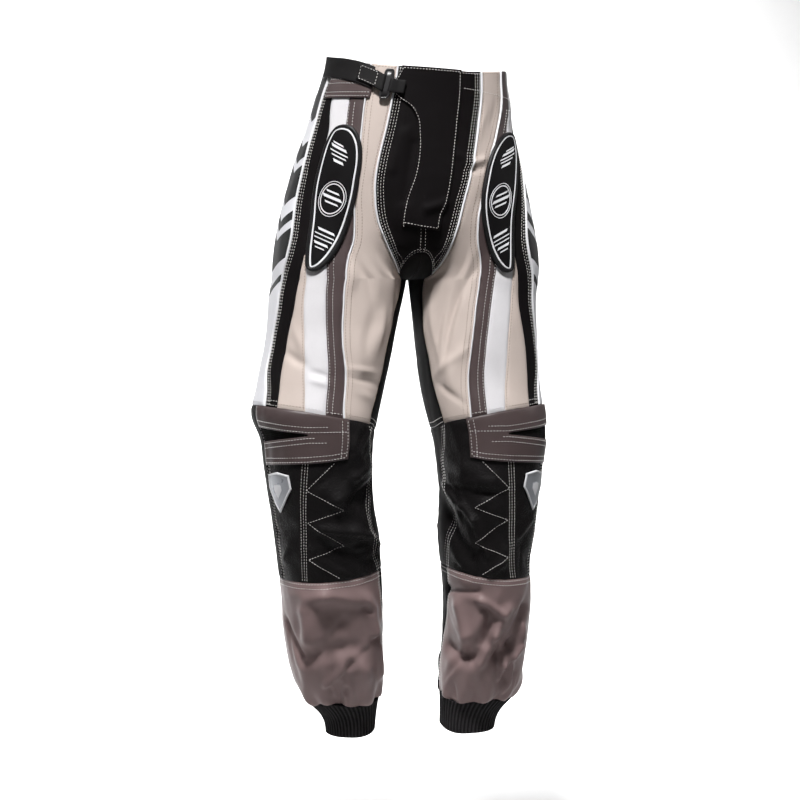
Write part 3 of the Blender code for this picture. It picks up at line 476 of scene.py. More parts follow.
# %% The smaller creases
CREASES = {
    RIGHT: (
        # Thigh
        (-296, 20.6, 28, 6, 3.6, -13), (-306, 16.9, 30, 6, -4.3, 6), (-300, 11, 38, 8, 4.7, 11),
        (-334, 7.6, 32, 6, -2.5, 11), (-364, 15.6, 39, 8, -3.2, -4), (-372, 12.5, 29, 6, 2.9, 1),
        (-406, 18, 38, 8, 2.5, 14), (-434, 16, 20, 4, 2.5, 81), (-450, 14.7, 24, 4, -2.3, 77),
        (-471, 13.6, 16, 6, 2.2, 63), (-391, 33, 21, 6, 2.5, 24), (-418, 33.3, 22, 6, -2.9, 56),
        (-439, 26.5, 12, 4, -2.2, 72), (-451, 26.2, 13, 4, 2, 73), (-107, 18, 44, 8, 1.0, 17),
        (-160, 12.6, 56, 6, -1.0, 5),
        # Front yokes
        (-110, 8.3, 48, 6, -1.6, 10), (-198, 5, 24, 6, 1.0, -16), (-78, 9.2, 26, 4, 1.0, 5),
        # Knee
        (-544, 12.7, 36, 4, 2.4, -41), (-565, 10, 36, 4, -1.8, -55), (-604, 13.4, 48, 5, 2.6, -64),
        (-622, 14.8, 35, 4, -2.2, -55), (-636, 11.6, 30, 4, -2.6, -31), (-674, 12.2, 31, 4, 2.4, -98),
        (-668, 22.2, 29, 4, 2.0, -98), (-688, 15.7, 26, 4, -2.6, -78), (-706, 13.4, 33, 5, 1.8, -81),
        (-626, 35, 12, 4, 1.4, -66), (-704, 37, 26, 5, 2.0, -66), (-608, 25.4, 14, 4, 1.2, -50),
        (-720, 21.5, 22, 4, -1.4, 58), (-723, 38.7, 20, 4, -1.4, -61),
        # Calf
        (-915, 24.5, 26, 3.5, -4, -12), (-858, 17, 43, 4, -3, -51), (-870, 22.6, 27, 4, 2.4, -29),
        (-913, 27, 16, 4, 2.4, 13), (-909, 20.7, 19, 4, 2.6, 17), (-830, 12, 39, 8, 2.4, -43),
        (-764, 36.6, 36, 9, 2.2, 99), (-766, 15, 28, 8, 2.2, 55), (-816, 36.5, 32, 10, -2.4, -12),
        (-792, 22, 29, 10, -2.2, 26), (-862, 39.5, 35, 8, 2.2, 23), (-838, 43, 26, 5, -1.8, 12),
    ),
    LEFT: (
        # Thigh
        (-362, 16.5, 61, 5, -5, 12), (-357, 14.8, 50, 5, 4, 7), (-299, 17.8, 39, 5, 3.6, -10),
        (-412, 19, 48, 8, 2.9, 23), (-423, 15.4, 31, 6, 2.7, 54), (-468, 14.3, 21, 6, -2.5, -52),
        (-368, 11, 45, 4, 2.5, -7), (-72, 15.2, 29, 6, 1.6, 15), (-54, 20, 28, 6, -1.4, 8),
        (-133, 12, 25, 6, 1.6, 15), (-184, 15.5, 27, 6, -1.2, 13), (-243, 17.4, 30, 6, 1.4, -6),
        (-360, 35, 36, 6, 2.3, -12), (-444, 29, 28, 6, -2.2, -2),
        # Front yokes
        (-241, 6.5, 17, 6, 1.2, 21),
        # Knee
        (-634, 15.8, 52, 4, 2.6, -40), (-685, 23.3, 24, 4, 2.2, -28), (-602, 18.5, 50, 5, 1.8, -87),
        (-627, 22.9, 23, 4, 2.0, 65), (-654, 14.9, 40, 6, -2.6, -18), (-690, 20.3, 27, 6, -2.2, -28),
        (-660, 37.6, 25, 4, 2.2, 55), (-632, 33.6, 9, 4, -1.2, 40), (-559, 14.5, 28, 6, 1.8, -19),
        (-586, 25.2, 17, 4, 1.3, -63), (-698, 29.4, 18, 4, 1.8, -33), (-720, 13.2, 14, 4, 1.6, -42),
        (-713, 36.7, 23, 4, -1.6, 7),
        # Calf
        (-896, 32.9, 23, 3.5, -4.2, 7), (-906, 36.2, 24, 4, 2.6, -6), (-874, 35.7, 19, 4, 2.6, 13),
        (-912, 39.5, 15, 4, -3, 7), (-830, 32.5, 61, 7, -4, 33), (-831, 26.2, 40, 5, 3.4, 17),
        (-795, 24.3, 24, 6, -2.6, -52), (-780, 21.4, 20, 6, 2.0, -71), (-870, 14.6, 41, 8, -3, 44),
        (-894, 12.7, 29, 6, 2.2, 46), (-820, 11.8, 34, 6, 2.0, -45), (-903, 27.4, 24, 5, 2.6, -27),
        (-922, 14.4, 17, 4, -2.4, -25), (-918, 20.3, 22, 6, 2.2, -27),
    ),
    BOTH: (
        (-60, 70, 40, 6, -1.6, 8), (-110, 78, 46, 8, 2.0, 22), (-170, 72, 50, 8, -2.2, 35),
        (-215, 84, 46, 8, 2.2, 44), (-320, 74, 44, 8, -2.4, 64), (-345, 90, 34, 7, 2.0, 48),
        (-430, 70, 46, 9, 2.0, 10), (-470, 84, 36, 7, -1.8, 70), (-530, 66, 34, 5, 2.4, 78),
        (-572, 60, 34, 5, -2.2, 96), (-606, 62, 40, 5, 2.4, 80), (-608, 90, 36, 5, -2.4, 98),
        (-650, 88, 40, 6, 2.2, 84), (-668, 70, 44, 6, -2.2, 92), (-705, 82, 36, 7, 2.0, 76),
        (-775, 64, 40, 8, -2.4, 24), (-830, 88, 42, 7, 2.4, -22), (-850, 62, 46, 7, 2.4, 14),
        (-905, 56, 24, 4, -3.0, 6), (-908, 84, 24, 4, -3.2, -8), (-900, 74, 26, 5, 2.6, 4),
        (-300, 50, 46, 7, -1.4, 16), (-410, 51, 40, 7, 1.4, -14),
    ),
}
print("smaller creases:", sum(len(rows) for rows in CREASES.values()))


def folded(rows, side, share, height):
    """How far a table's folds push the cloth out, in millimetres."""
    total = np.zeros(np.broadcast(share, height).shape)
    for row in rows[side] + rows[BOTH]:
        fold = dict(zip(FOLD_COLUMNS, row))
        round_mm = LEG_PERCENT_MM if fold["height"] < CROTCH else PERCENT_MM
        across = (share % 100 - fold["share"]) * round_mm
        up = height - fold["height"]
        lean = math.radians(fold["lean"])
        run = up * math.cos(lean) + across * math.sin(lean)
        off = across * math.cos(lean) - up * math.sin(lean)
        apart = (run / fold["half_length"]) ** 2 + (off / fold["half_width"]) ** 2
        total = total + fold["depth"] * np.exp(-apart)
    return total


# %% [markdown]
# ## The broad billows
# Behind the knee pads and over the cuffs the cloth stands in wide billows, and these give the picture most
# of its light and dark.
# Each one is written as a line from one spot to another, as a maker would chalk it onto the cloth.
# A billow that rises meets one that sinks: where the cloth turns down it falls into shadow.

# %% Billows from spot to spot
BILLOW_COLUMNS = ("share", "height", "end_share", "end_height", "half_width", "depth")
BILLOWS = {
    RIGHT: (
        # Yokes, fly flap and hips in front
        (8, -88, 8.5, -140, 8, 2.4), (4.5, -104, 4, -186, 6, -2.6), (5, -240, 9, -226, 5, 2.2),
        # Knee
        (9, -574, 15, -590, 10, 4.0), (15, -590, 21, -624, 9, 4.0), (9, -604, 16, -642, 13, -5.0),
        (22, -588, 26, -600, 10, -2.5), (11.5, -624, 14, -664, 5, 2.4), (26, -664, 16, -668, 8, 5.0),
        (16, -668, 6, -690, 8, 5.0), (23, -696, 9, -710, 12, -5.5), (17, -724, 12, -733, 6, 2.6),
        (29, -690, 24, -702, 7, 2.6), (27, -716, 20, -734, 8, 3.0), (37, -690, 40, -712, 8, 4.0),
        (36, -664, 42, -674, 9, -3.5), (14, -520, 16, -546, 5, 2.0),
        # Calf
        (33, -772, 27, -765, 10, 5.4), (27, -765, 14, -774, 11, 6.1), (25, -796, 22, -840, 18, -8.1),
        (34, -856, 19, -846, 12, -5.4), (12, -834, 9, -832, 6, -4.7), (21, -806, 30, -846, 7, -2.7),
        (44, -810, 37, -860, 7, -6.8), (34, -790, 33, -832, 11, 7.4), (12, -788, 11, -824, 10, 7.4),
        (15, -784, 13, -788, 5, -4.1), (8, -850, 6, -890, 9, 6.1), (20, -866, 23, -890, 4, -4.0),
        (22, -880, 29, -903, 6, 4.6), (36, -882, 39, -926, 13, 6.3), (16, -880, 15, -926, 12, 6.3),
        (28, -908, 28, -914, 4, -4.0), (22, -908, 22.5, -914, 4, -4.0),
    ),
    LEFT: (
        # Yokes, fly flap and hips in front
        (1, -198, 6, -188, 6, 3.0), (1, -210, 5, -206, 6, -2.0), (8, -118, 11, -126, 5, 2.2),
        (11, -132, 16, -124, 5, 2.6), (11, -143, 16, -137, 5, -2.2), (5, -242, 8, -228, 5, 2.2),
        # Knee
        (6, -605, 14, -635, 6, 4.0), (14, -635, 19, -656, 5, 4.5), (19, -656, 24, -706, 5, 4.5),
        (9, -650, 18, -712, 14, -6.5), (9, -598, 24, -597, 7, 3.0), (19, -614, 27, -618, 7, -3.0),
        (22, -634, 26, -642, 8, 2.4), (27, -668, 29, -690, 8, -3.0), (31, -692, 29, -720, 7, 3.0),
        (29, -722, 25, -736, 7, 4.0), (12, -728, 17, -742, 7, -3.0), (40, -656, 35, -680, 4, 3.0),
        (36, -694, 41, -720, 9, -3.0), (17, -540, 15, -584, 9, 2.6),
        # Calf
        (6, -764, 20, -764, 7, -5.4), (21, -776, 29, -797, 6, 6.8), (31, -792, 27, -830, 8, 7.4),
        (27, -830, 23, -872, 8, 7.4), (22, -882, 27, -928, 13, 6.3), (24, -788, 24.5, -842, 8, -8.1),
        (12, -788, 16, -832, 11, 7.4), (8, -852, 20, -868, 12, -9.5), (39, -792, 34, -848, 9, -7.4),
        (34, -848, 28, -868, 7, -6.8), (39, -822, 40, -838, 7, 5.4), (40, -852, 32, -880, 6, 6.8),
        (32, -880, 31, -900, 5, 4.6), (35, -872, 34, -904, 5, -4.6), (36, -882, 34.5, -922, 3.5, 3.4),
        (38, -892, 36, -928, 5, -3.4),
    ),
    BOTH: (
        (62, -776, 58, -806, 11, 4.5), (66, -822, 58, -850, 12, -5.5), (74, -790, 80, -836, 12, 5.0),
        (84, -846, 72, -866, 10, -5.0), (92, -784, 90, -824, 11, 4.5), (60, -880, 64, -922, 12, 5.0),
        (79, -884, 76, -926, 11, 5.0), (93, -878, 92, -922, 11, 4.5), (58, -600, 74, -612, 8, 3.6),
        (62, -626, 78, -634, 9, -4.0), (60, -656, 72, -650, 8, 3.4), (84, -660, 94, -672, 8, 3.4),
        (76, -684, 90, -694, 10, -4.0),
    ),
}
print("billows:", sum(len(rows) for rows in BILLOWS.values()))


def billowed(rows, side, share, height):
    """How far the billows push the cloth out, in millimetres, fading with the distance from each one's line."""
    total = np.zeros(np.broadcast(share, height).shape)
    for row in rows[side] + rows[BOTH]:
        billow = dict(zip(BILLOW_COLUMNS, row))
        across = (share % 100 - billow["share"]) * PERCENT_MM
        up = height - billow["height"]
        run = (billow["end_share"] - billow["share"]) * PERCENT_MM
        rise = billow["end_height"] - billow["height"]
        part = np.clip((across * run + up * rise) / (run**2 + rise**2), 0, 1)
        apart = (across - part * run) ** 2 + (up - part * rise) ** 2
        total = total + billow["depth"] * np.exp(-apart / billow["half_width"] ** 2)
    return total


# %% [markdown]
# ## Uneven cloth
# Real cloth is never perfectly smooth: it dimples a little everywhere and puckers along sewn lines.
# A lattice of fixed values, blended smoothly in space, gives the same dimples on each run and across seams.

# %% Dimples in space
def wander(points, size, seed=0.0):
    """Smooth uneven values from -1 to 1 in space, one dimple for each `size` millimetres."""
    cell = points / size + seed
    low = np.floor(cell)
    part = cell - low
    part = part * part * (3 - 2 * part)
    total = np.zeros(points.shape[:-1])
    for corner in itertools.product((0, 1), repeat=3):
        place = (low + corner) @ np.array((12.9898, 78.233, 37.719))
        value = np.modf(np.sin(place) * 43758.5453)[0]
        weight = np.prod(np.where(corner, part, 1 - part), axis=-1)
        total += weight * value
    return total


WIDE_DIMPLE, NARROW_DIMPLE = 34.0, 13.0
# How deep the wide and the narrow dimples are on each tier of the leg.
DIMPLES = {"thigh": (0.9, 0.35), "knee": (1.0, 0.55), "calf": (1.5, 0.5), "ankle": (0.3, 0.1)}


def cuff_gathers(side, share, height):
    """The upright gathers where a calf is drawn into its cuff, in millimetres."""
    near_cuff = np.clip(1 - np.abs(height - GATHER_HEIGHT) / GATHER_REACH, 0, 1)
    return GATHER_DEPTH * near_cuff**1.5 * np.cos(2 * math.pi * (GATHERS * share / 100 + 0.2 * side))


def firm(side, share, height, out=0.0):
    """Posed points on the solid's own surface, with its large folds only."""
    share, height = np.broadcast_arrays(np.asarray(share, float), np.asarray(height, float))
    lift = folded(FOLDS, side, share, height) + cuff_gathers(side, share, height) + out
    return pose(plain_point(side, share, height) + outward(side, share, height) * lift[..., None])


def skin(side, share, height, out=0.0, tier="thigh", normal_share=None):
    """Posed points on the creased cloth, and its normals."""
    share, height, out = np.broadcast_arrays(*(np.asarray(value, float) for value in (share, height, out)))
    read = share if normal_share is None else normal_share
    plain = plain_point(side, share, height)
    wide, narrow = DIMPLES[tier]
    lift = folded(FOLDS, side, read, height) + folded(CREASES, side, read, height)
    lift = lift + cuff_gathers(side, read, height) + out + billowed(BILLOWS, side, read, height)
    lift = lift + wide * wander(plain, WIDE_DIMPLE) + narrow * wander(plain, NARROW_DIMPLE, 5.3)
    normal = outward(side, read, height)
    return pose(plain + normal * lift[..., None]), normal


print("a dimple value:", round(float(wander(np.array([[10.0, 20.0, 30.0]]), WIDE_DIMPLE)[0]), 3))

# %% [markdown]
# ## Reading the seams
# A panel is named by the two upright seams that it lies between and by its tier: thigh, knee, calf or ankle.
# Its rows run from one crosswise edge to the other, so neighbours meet along the whole seam.

# %% Seams and levels
def seam(side, what, height):
    """The share at each height of a number, a seam's name, or a name with millimetres past it."""
    if isinstance(what, (int, float)):
        return np.full(np.shape(height), float(what))
    name, past = what if isinstance(what, tuple) else (what, 0.0)
    if name == "piping_end":
        share = seam(side, "rise", height)
        past = past + PIPING_WIDTH * np.clip((np.asarray(height) - CROTCH) / (ARCH_FOOT - CROTCH), 0, 1)
    elif name == "inner_round":
        share = 100 + LOWER_SEAMS.at("inner", height)
    else:
        table = THIGH_SEAMS if name in THIGH_SEAMS.names else LOWER_SEAMS
        share = table.at(name, height)
    return share + past / per_percent(side, share, height)


def level(tier, side, share, nominal, shape=""):
    """The true height of a tier's row at each share, with its ends on the crosswise edges."""
    first, last, top_name, bottom_name = TIERS[tier]
    if top_name == "waist":
        top_name = ("right_" if side == RIGHT else "left_") + top_name
    round_share = np.where(share > 100, share - 100, np.maximum(share, 0))
    top = EDGES.at(top_name, round_share) - first
    bottom = EDGES.at(bottom_name, round_share) - last
    if tier != "thigh":
        part = (first - nominal) / (first - last)
        return nominal + top * (1 - part) + bottom * part
    height = (
        nominal
        + top * np.maximum(nominal - CROTCH, 0) / (first - CROTCH)
        + bottom * np.maximum(CROTCH - nominal, 0) / (CROTCH - last)
    )
    edge = THIGH_SEAMS.at("rise", ARCH_FOOT)
    arch = ARCH_FOOT + (ARCH_TOP - ARCH_FOOT) * (1 - np.clip(share / edge, 0, 1) ** 2)
    if shape == "over_arch":
        bent = YOKE_BEND + (nominal - YOKE_BEND) * (arch - YOKE_BEND) / (ARCH_FOOT - YOKE_BEND)
        height = np.where(nominal < YOKE_BEND, bent, height)
    if shape == "under_arch":
        bent = CROTCH + (nominal - CROTCH) * (arch - CROTCH) / (ARCH_FOOT - CROTCH)
        height = np.where(nominal > CROTCH, bent, height)
    return height


print("rise seam at the hip:", round(float(seam(RIGHT, "rise", np.array(-181.0))), 1), "percent round")

# %% [markdown]
# ## Finishes
# The thighs and the seat are a tight polyester oxford, the calves a satin nylon and the knees a grained
# leatherette.
# Each material is built from nodes: a weave or grain that follows the cloth's own coordinates in metres,
# and slow changes of tone.
# The yarns are finer than a pixel, so their height is small and their job is to soften the highlights. The
# weave and the knit also carry painted shade in their colour where their relief is low.

# %% Helpers for finishes
CLOTH_MAP = "cloth"


def new_finish(name, colour, roughness, specular=0.5, sheen=0.0, metal=0.0):
    """A Principled material with its plain numbers set on the shader's own sockets."""
    material = bpy.data.materials.new(name)
    material.use_nodes = True
    shader = material.node_tree.nodes["Principled BSDF"]
    shader.inputs["Base Color"].default_value = (*colour, 1)
    shader.inputs["Roughness"].default_value = roughness
    shader.inputs["Specular IOR Level"].default_value = specular
    shader.inputs["Sheen Weight"].default_value = sheen
    shader.inputs["Sheen Roughness"].default_value = 0.45
    shader.inputs["Metallic"].default_value = metal
    return material, material.node_tree, shader


def in_space(tree):
    """The place in metres in the object's own space."""
    return wired(tree, "ShaderNodeTexCoord").outputs["Object"]


def on_cloth(tree):
    """The place on the cloth's own map, in metres across and down the piece."""
    return wired(tree, "ShaderNodeUVMap", (("uv_map", CLOTH_MAP),)).outputs["UV"]


def clouds(tree, place, scale, detail):
    """Soft cloudy values from 0 to 1."""
    return wired(tree, "ShaderNodeTexNoise", Vector=place, Scale=scale, Detail=detail).outputs["Fac"]


def ripples(tree, along, hump):
    """A sine along one coordinate, each hump `hump` millimetres long."""
    return sums(tree, "SINE", sums(tree, "MULTIPLY", along, math.pi / (hump * MM)))


def from_zero(tree, wave):
    """A wave from -1 to 1, moved so that it runs from 0 to 1."""
    return wired(tree, "ShaderNodeMath", (("operation", "MULTIPLY_ADD"),), _0=wave, _1=0.5, _2=0.5).outputs[0]


def toned(tree, part, colour, dark, light):
    """The finish's colour from its dark tone to its light one, by a part from 0 to 1."""
    blend = wired(tree, "ShaderNodeMix", (("data_type", "RGBA"),), Factor=part)
    blend.inputs[6].default_value = (*(c * dark for c in colour), 1)
    blend.inputs[7].default_value = (*(min(c * light, 1) for c in colour), 1)
    return blend.outputs[2]


def finish_with(tree, shader, colour, height, strength, distance, roughness=None):
    """Feeds the shader its colour, its fine relief and, where one is given, its roughness."""
    tree.links.new(colour, shader.inputs["Base Color"])
    relief = wired(tree, "ShaderNodeBump", Height=height, Strength=strength, Distance=distance).outputs[0]
    tree.links.new(relief, shader.inputs["Normal"])
    if roughness is not None:
        tree.links.new(roughness, shader.inputs["Roughness"])


print("the map that carries the weave:", CLOTH_MAP)

# %% Woven cloth
def oxford(name, colour, yarn=0.9, roughness=0.72, specular=0.35, sheen=0.12, patches=0.05, bump=0.25):
    """A plain weave of round yarns, each `yarn` millimetres wide, with slight patches of tone, and painted
    shade between the yarns where the weave's relief is low.
    """
    material, tree, shader = new_finish(name, colour, roughness, specular, sheen)
    place = in_space(tree)
    shade = ranged(tree, clouds(tree, place, 14.0, 3.0), 0.3, 0.7, 1 - patches, 1 + patches)
    cut = wired(tree, "ShaderNodeSeparateXYZ", Vector=on_cloth(tree))
    across, down = (ripples(tree, cut.outputs[axis], yarn) for axis in (0, 1))
    weave = from_zero(tree, sums(tree, "MULTIPLY", across, down))
    fleck = clouds(tree, place, 520.0, 2.0)
    # In this mix the weave is painted shade between the yarns and the fleck is random tone; the same mix is the
    # relief.
    mixed = sums(tree, "ADD", sums(tree, "MULTIPLY", weave, 0.55), sums(tree, "MULTIPLY", fleck, 0.45))
    woven = toned(tree, mixed, colour, 0.9, 1.06)
    shaded = wired(tree, "ShaderNodeVectorMath", (("operation", "SCALE"),), _0=woven, Scale=shade)
    finish_with(tree, shader, shaded.outputs[0], mixed, bump, 0.0004)
    return material


BLACK_CLOTH = oxford("black_oxford", (0.0058, 0.0048, 0.0052), roughness=0.62, specular=0.06, sheen=0.0)
CREAM_CLOTH = oxford("cream_oxford", (0.49, 0.415, 0.375), yarn=1.2, sheen=0.05, bump=0.35)
WHITE_CLOTH = oxford("white_oxford", (0.60, 0.585, 0.60), sheen=0.05)
TAUPE_CLOTH = oxford("taupe_oxford", (0.062, 0.043, 0.043), roughness=0.42, specular=0.42, sheen=0.03)
CALF_CLOTH = oxford(
    "calf_satin", (0.205, 0.143, 0.140), yarn=1.1, roughness=0.45,
    specular=0.22, sheen=0.03, patches=0.06, bump=0.5,
)
REVERSE_CLOTH = oxford("reverse_side", (0.012, 0.011, 0.011), roughness=0.9, specular=0.06, sheen=0.0)
BACK_CLOTH = oxford(
    "stretch_black", (0.0075, 0.0068, 0.0070), yarn=1.3, roughness=0.74, specular=0.08, sheen=0.0, bump=0.4,
)
PIPING_CLOTH = oxford("piping_white", (0.70, 0.70, 0.72), yarn=0.6, roughness=0.55)
print("woven finishes made")

# %% Leatherette, knit, webbing and rubber
def leatherette(name, colour):
    """Pebbled black leatherette: rounded grains about 2.3 mm across, glossier on their tops."""
    material, tree, shader = new_finish(name, colour, 0.42, 0.13)
    grain = wired(tree, "ShaderNodeTexVoronoi", Vector=on_cloth(tree), Scale=430.0).outputs["Distance"]
    rough = clouds(tree, in_space(tree), 180.0, 4.0)
    height = sums(tree, "SUBTRACT", sums(tree, "MULTIPLY", rough, 0.5), grain)
    gloss = ranged(tree, grain, 0.1, 0.6, 0.36, 0.6)
    finish_with(tree, shader, toned(tree, rough, colour, 0.75, 1.25), height, 0.7, 0.0009, gloss)
    return material


def knitted(name, colour, wale=2.6, course=1.5, rib=None):
    """Rib knit: small slanted loops, with painted highlight on the tops of the loops and ribs and painted shade
    in the grooves, the ribs being `rib` millimetres apart.
    """
    material, tree, shader = new_finish(name, colour, 0.85, 0.1, 0.0)
    cut = wired(tree, "ShaderNodeSeparateXYZ", Vector=on_cloth(tree))
    across = sums(tree, "ABSOLUTE", ripples(tree, cut.outputs[0], wale))
    along = sums(tree, "MULTIPLY", cut.outputs[1], 2 * math.pi / (course * MM))
    height = from_zero(tree, sums(tree, "SINE", sums(tree, "ADD", along, sums(tree, "MULTIPLY", across, 2.2))))
    # The colour follows the knit's relief: painted highlight where it is high, painted shade where it is low.
    dark, light = 0.7, 1.5
    if rib:
        # On ribs the painted shade in the grooves is deeper and the painted highlight on the crests is
        # brighter.
        dark, light = 0.3, 1.9
        crest_relief_and_highlight = sums(tree, "ABSOLUTE", ripples(tree, cut.outputs[0], rib))
        height = sums(tree, "MULTIPLY", height, sums(tree, "MULTIPLY", crest_relief_and_highlight, crest_relief_and_highlight))
    finish_with(tree, shader, toned(tree, height, colour, dark, light), height, 0.4, 0.0005)
    return material


def moulded(name, colour, roughness, metal=0.0, fine=260.0, specular=0.5):
    """Moulded rubber or plastic: a fine matt skin with faint scuffs."""
    material, tree, shader = new_finish(name, colour, roughness, specular, 0.0, metal)
    place = in_space(tree)
    scuffs = clouds(tree, place, 35.0, 5.0)
    worn = ranged(tree, scuffs, 0.35, 0.7, roughness * 0.85, min(roughness * 1.25, 1))
    coloured = toned(tree, scuffs, colour, 0.85, 1.12)
    finish_with(tree, shader, coloured, clouds(tree, place, fine, 3.0), 0.12, 0.0003, worn)
    return material


KNEE_LEATHER = leatherette("knee_leatherette", (0.0055, 0.0047, 0.005))
CUFF_RIBS, CUFF_ROUND = 48, 250
CUFF_KNIT = knitted("cuff_knit", (0.024, 0.0225, 0.0237), rib=CUFF_ROUND / CUFF_RIBS)
STRETCH_KNIT = knitted("knee_stretch_knit", (0.007, 0.0065, 0.0065), wale=1.6, course=1.2)
WEBBING = oxford(
    "belt_webbing", (0.008, 0.0074, 0.0078), yarn=1.5, roughness=0.6, specular=0.15, sheen=0.0, bump=0.6,
)
PAD_RUBBER = moulded("pad_rubber", (0.009, 0.0085, 0.009), 0.42, specular=0.22)
PAD_FIELD = moulded("pad_field", (0.006, 0.0055, 0.006), 0.5, specular=0.08)
PAD_WHITE = moulded("pad_white", (0.68, 0.68, 0.70), 0.5)
BADGE_GREY = moulded("badge_grey", (0.33, 0.34, 0.37), 0.3, metal=0.35)
BUCKLE_METAL = moulded("buckle_plastic", (0.022, 0.021, 0.022), 0.35)
THREADS = {
    "pale": moulded("thread_pale", (0.62, 0.60, 0.58), 0.6),
    "cream": moulded("thread_cream", (0.27, 0.22, 0.18), 0.65),
    "white": moulded("thread_white", (0.62, 0.62, 0.66), 0.6),
    "grey": moulded("thread_grey", (0.27, 0.25, 0.25), 0.65),
}
print("materials:", len(bpy.data.materials))

# %% [markdown]
# ## Bold print on the side panels
# The real side panel is white with large black print. Here the print is a plain run of black bands of uneven
# width, each bent near the panel's middle. They come from one slanted coordinate, cut into hard steps by a
# colour ramp, so the edges stay crisp at any distance.

# %% Printed side cloth
# Millimetres down the panel at which each band starts, and whether it is black.
PRINT_BANDS = (
    (0, 1), (92, 0), (132, 1), (160, 0), (172, 1), (224, 0),
    (248, 1), (262, 0), (276, 1), (326, 0), (350, 1), (362, 0),
)
PRINT_LENGTH, PRINT_BEND, PRINT_SLANT = 500, 0.004, 0.55


def printed_cloth():
    """White oxford with slanted black bands down to mid-thigh."""
    material = oxford("printed_oxford", (0.64, 0.64, 0.67), sheen=0.05)
    tree = material.node_tree
    shader = tree.nodes["Principled BSDF"]
    ground = shader.inputs["Base Color"].links[0].from_socket
    cut = wired(tree, "ShaderNodeSeparateXYZ", Vector=on_cloth(tree))
    beside = sums(tree, "ABSOLUTE", sums(tree, "ADD", cut.outputs[0], PRINT_BEND))
    down = sums(tree, "SUBTRACT", sums(tree, "MULTIPLY", beside, PRINT_SLANT), cut.outputs[1])
    bands = wired(tree, "ShaderNodeValToRGB", Fac=ranged(tree, down, 0.0, PRINT_LENGTH * MM, 0.0, 1.0))
    ramp = bands.color_ramp
    ramp.interpolation = "CONSTANT"
    while len(ramp.elements) > 1:
        ramp.elements.remove(ramp.elements[-1])
    for index, (start, black) in enumerate(PRINT_BANDS):
        stop = ramp.elements[0] if index == 0 else ramp.elements.new(start / PRINT_LENGTH)
        stop.position = start / PRINT_LENGTH
        stop.color = (black, black, black, 1)
    inked = wired(tree, "ShaderNodeMix", (("data_type", "RGBA"),), Factor=bands.outputs["Color"])
    tree.links.new(ground, inked.inputs[6])
    inked.inputs[7].default_value = (0.007, 0.0065, 0.007, 1)
    tree.links.new(inked.outputs[2], shader.inputs["Base Color"])
    return material


PRINTED_CLOTH = printed_cloth()
print("print bands:", len(PRINT_BANDS))

# %% [markdown]
# ## A thin shell
# Every cloth piece is a closed wall: an outer grid of points, an inner one 1.6 mm behind it, and a rim.
# The rim's faces stay flat and the rest is smooth, so a cut edge shows as an edge.
# Its own map, in metres of cloth, carries the weave.

# %% Mesh helpers
MADE, FLAT = {}, {}


def link(name, vertices, faces, materials, slots=None, smooth=None, cloth_map=None):
    """A mesh object in metres from points in millimetres."""
    mesh = bpy.data.meshes.new(name)
    vertices = (np.asarray(vertices, float) * MM).tolist()
    mesh.from_pydata(vertices, [], faces)
    for material in materials:
        mesh.materials.append(material)
    if slots is not None:
        mesh.polygons.foreach_set("material_index", np.asarray(slots, np.int32))
    smooth = np.ones(len(faces), bool) if smooth is None else np.asarray(smooth, bool)
    mesh.polygons.foreach_set("use_smooth", smooth)
    if cloth_map is not None:
        corner = np.zeros(len(mesh.loops), np.int32)
        mesh.loops.foreach_get("vertex_index", corner)
        layer = mesh.uv_layers.new(name=CLOTH_MAP)
        layer.data.foreach_set("uv", (np.asarray(cloth_map, float) * MM)[corner].astype(np.float32).ravel())
    mesh.update()
    made = bpy.data.objects.new(f"finished_{name}", mesh)
    bpy.context.scene.collection.objects.link(made)
    MADE[name] = made
    return made


print("a made piece is kept by its name in MADE:", len(MADE))


# %% Closed walls
def wall(outer, inner, finishes=1, flip=False, closed=False, keep=None, cloth_map=None):
    """Vertices, faces, slots, smoothing, map and area of a closed wall; keep marks the grid cells that stay."""
    rows, columns = outer.shape[:2]
    count = rows * columns
    here, c = np.meshgrid(np.arange(rows - 1), np.arange(columns if closed else columns - 1), indexing="ij")
    d = (c + 1) % columns
    here, below = here * columns, (here + 1) * columns
    cells = np.stack([here + c, below + c, below + d, here + d], axis=-1)
    cells = cells[np.asarray(keep, bool)] if keep is not None else cells.reshape(-1, 4)
    if flip:
        cells = cells[:, ::-1]
    edges = np.concatenate([cells[:, [i, (i + 1) % 4]] for i in range(4)])
    forward = set(map(tuple, edges.tolist()))
    rim = sorted((b, a, a + count, b + count) for a, b in forward if (b, a) not in forward)
    faces = cells.tolist() + (cells[:, ::-1] + count).tolist() + rim
    slots = [0] * len(cells) + [finishes - 1] * len(cells) + [0] * len(rim)
    smooth = [True] * (2 * len(cells)) + [False] * len(rim)
    vertices = np.concatenate([outer.reshape(-1, 3), inner.reshape(-1, 3)])
    if cloth_map is None:
        across, down = np.zeros((rows, columns)), np.zeros((rows, columns))
        across[:, 1:] = np.cumsum(np.linalg.norm(np.diff(outer, axis=1), axis=-1), axis=1)
        down[1:] = np.cumsum(np.linalg.norm(np.diff(outer, axis=0), axis=-1), axis=0)
        cloth_map = np.stack([across - across.mean(axis=1, keepdims=True), -down], axis=-1)
    maps = np.concatenate([cloth_map.reshape(-1, 2)] * 2)
    used = np.unique(np.array([i for face in faces for i in face]))
    place = np.full(len(vertices), -1)
    place[used] = np.arange(len(used))
    faces = [tuple(int(place[i]) for i in face) for face in faces]
    corners = outer.reshape(-1, 3)[cells]
    crossed = np.cross(corners[:, 2] - corners[:, 0], corners[:, 3] - corners[:, 1])
    area = 0.5 * np.linalg.norm(crossed, axis=-1).sum()
    return vertices[used], faces, slots, smooth, maps[used], area


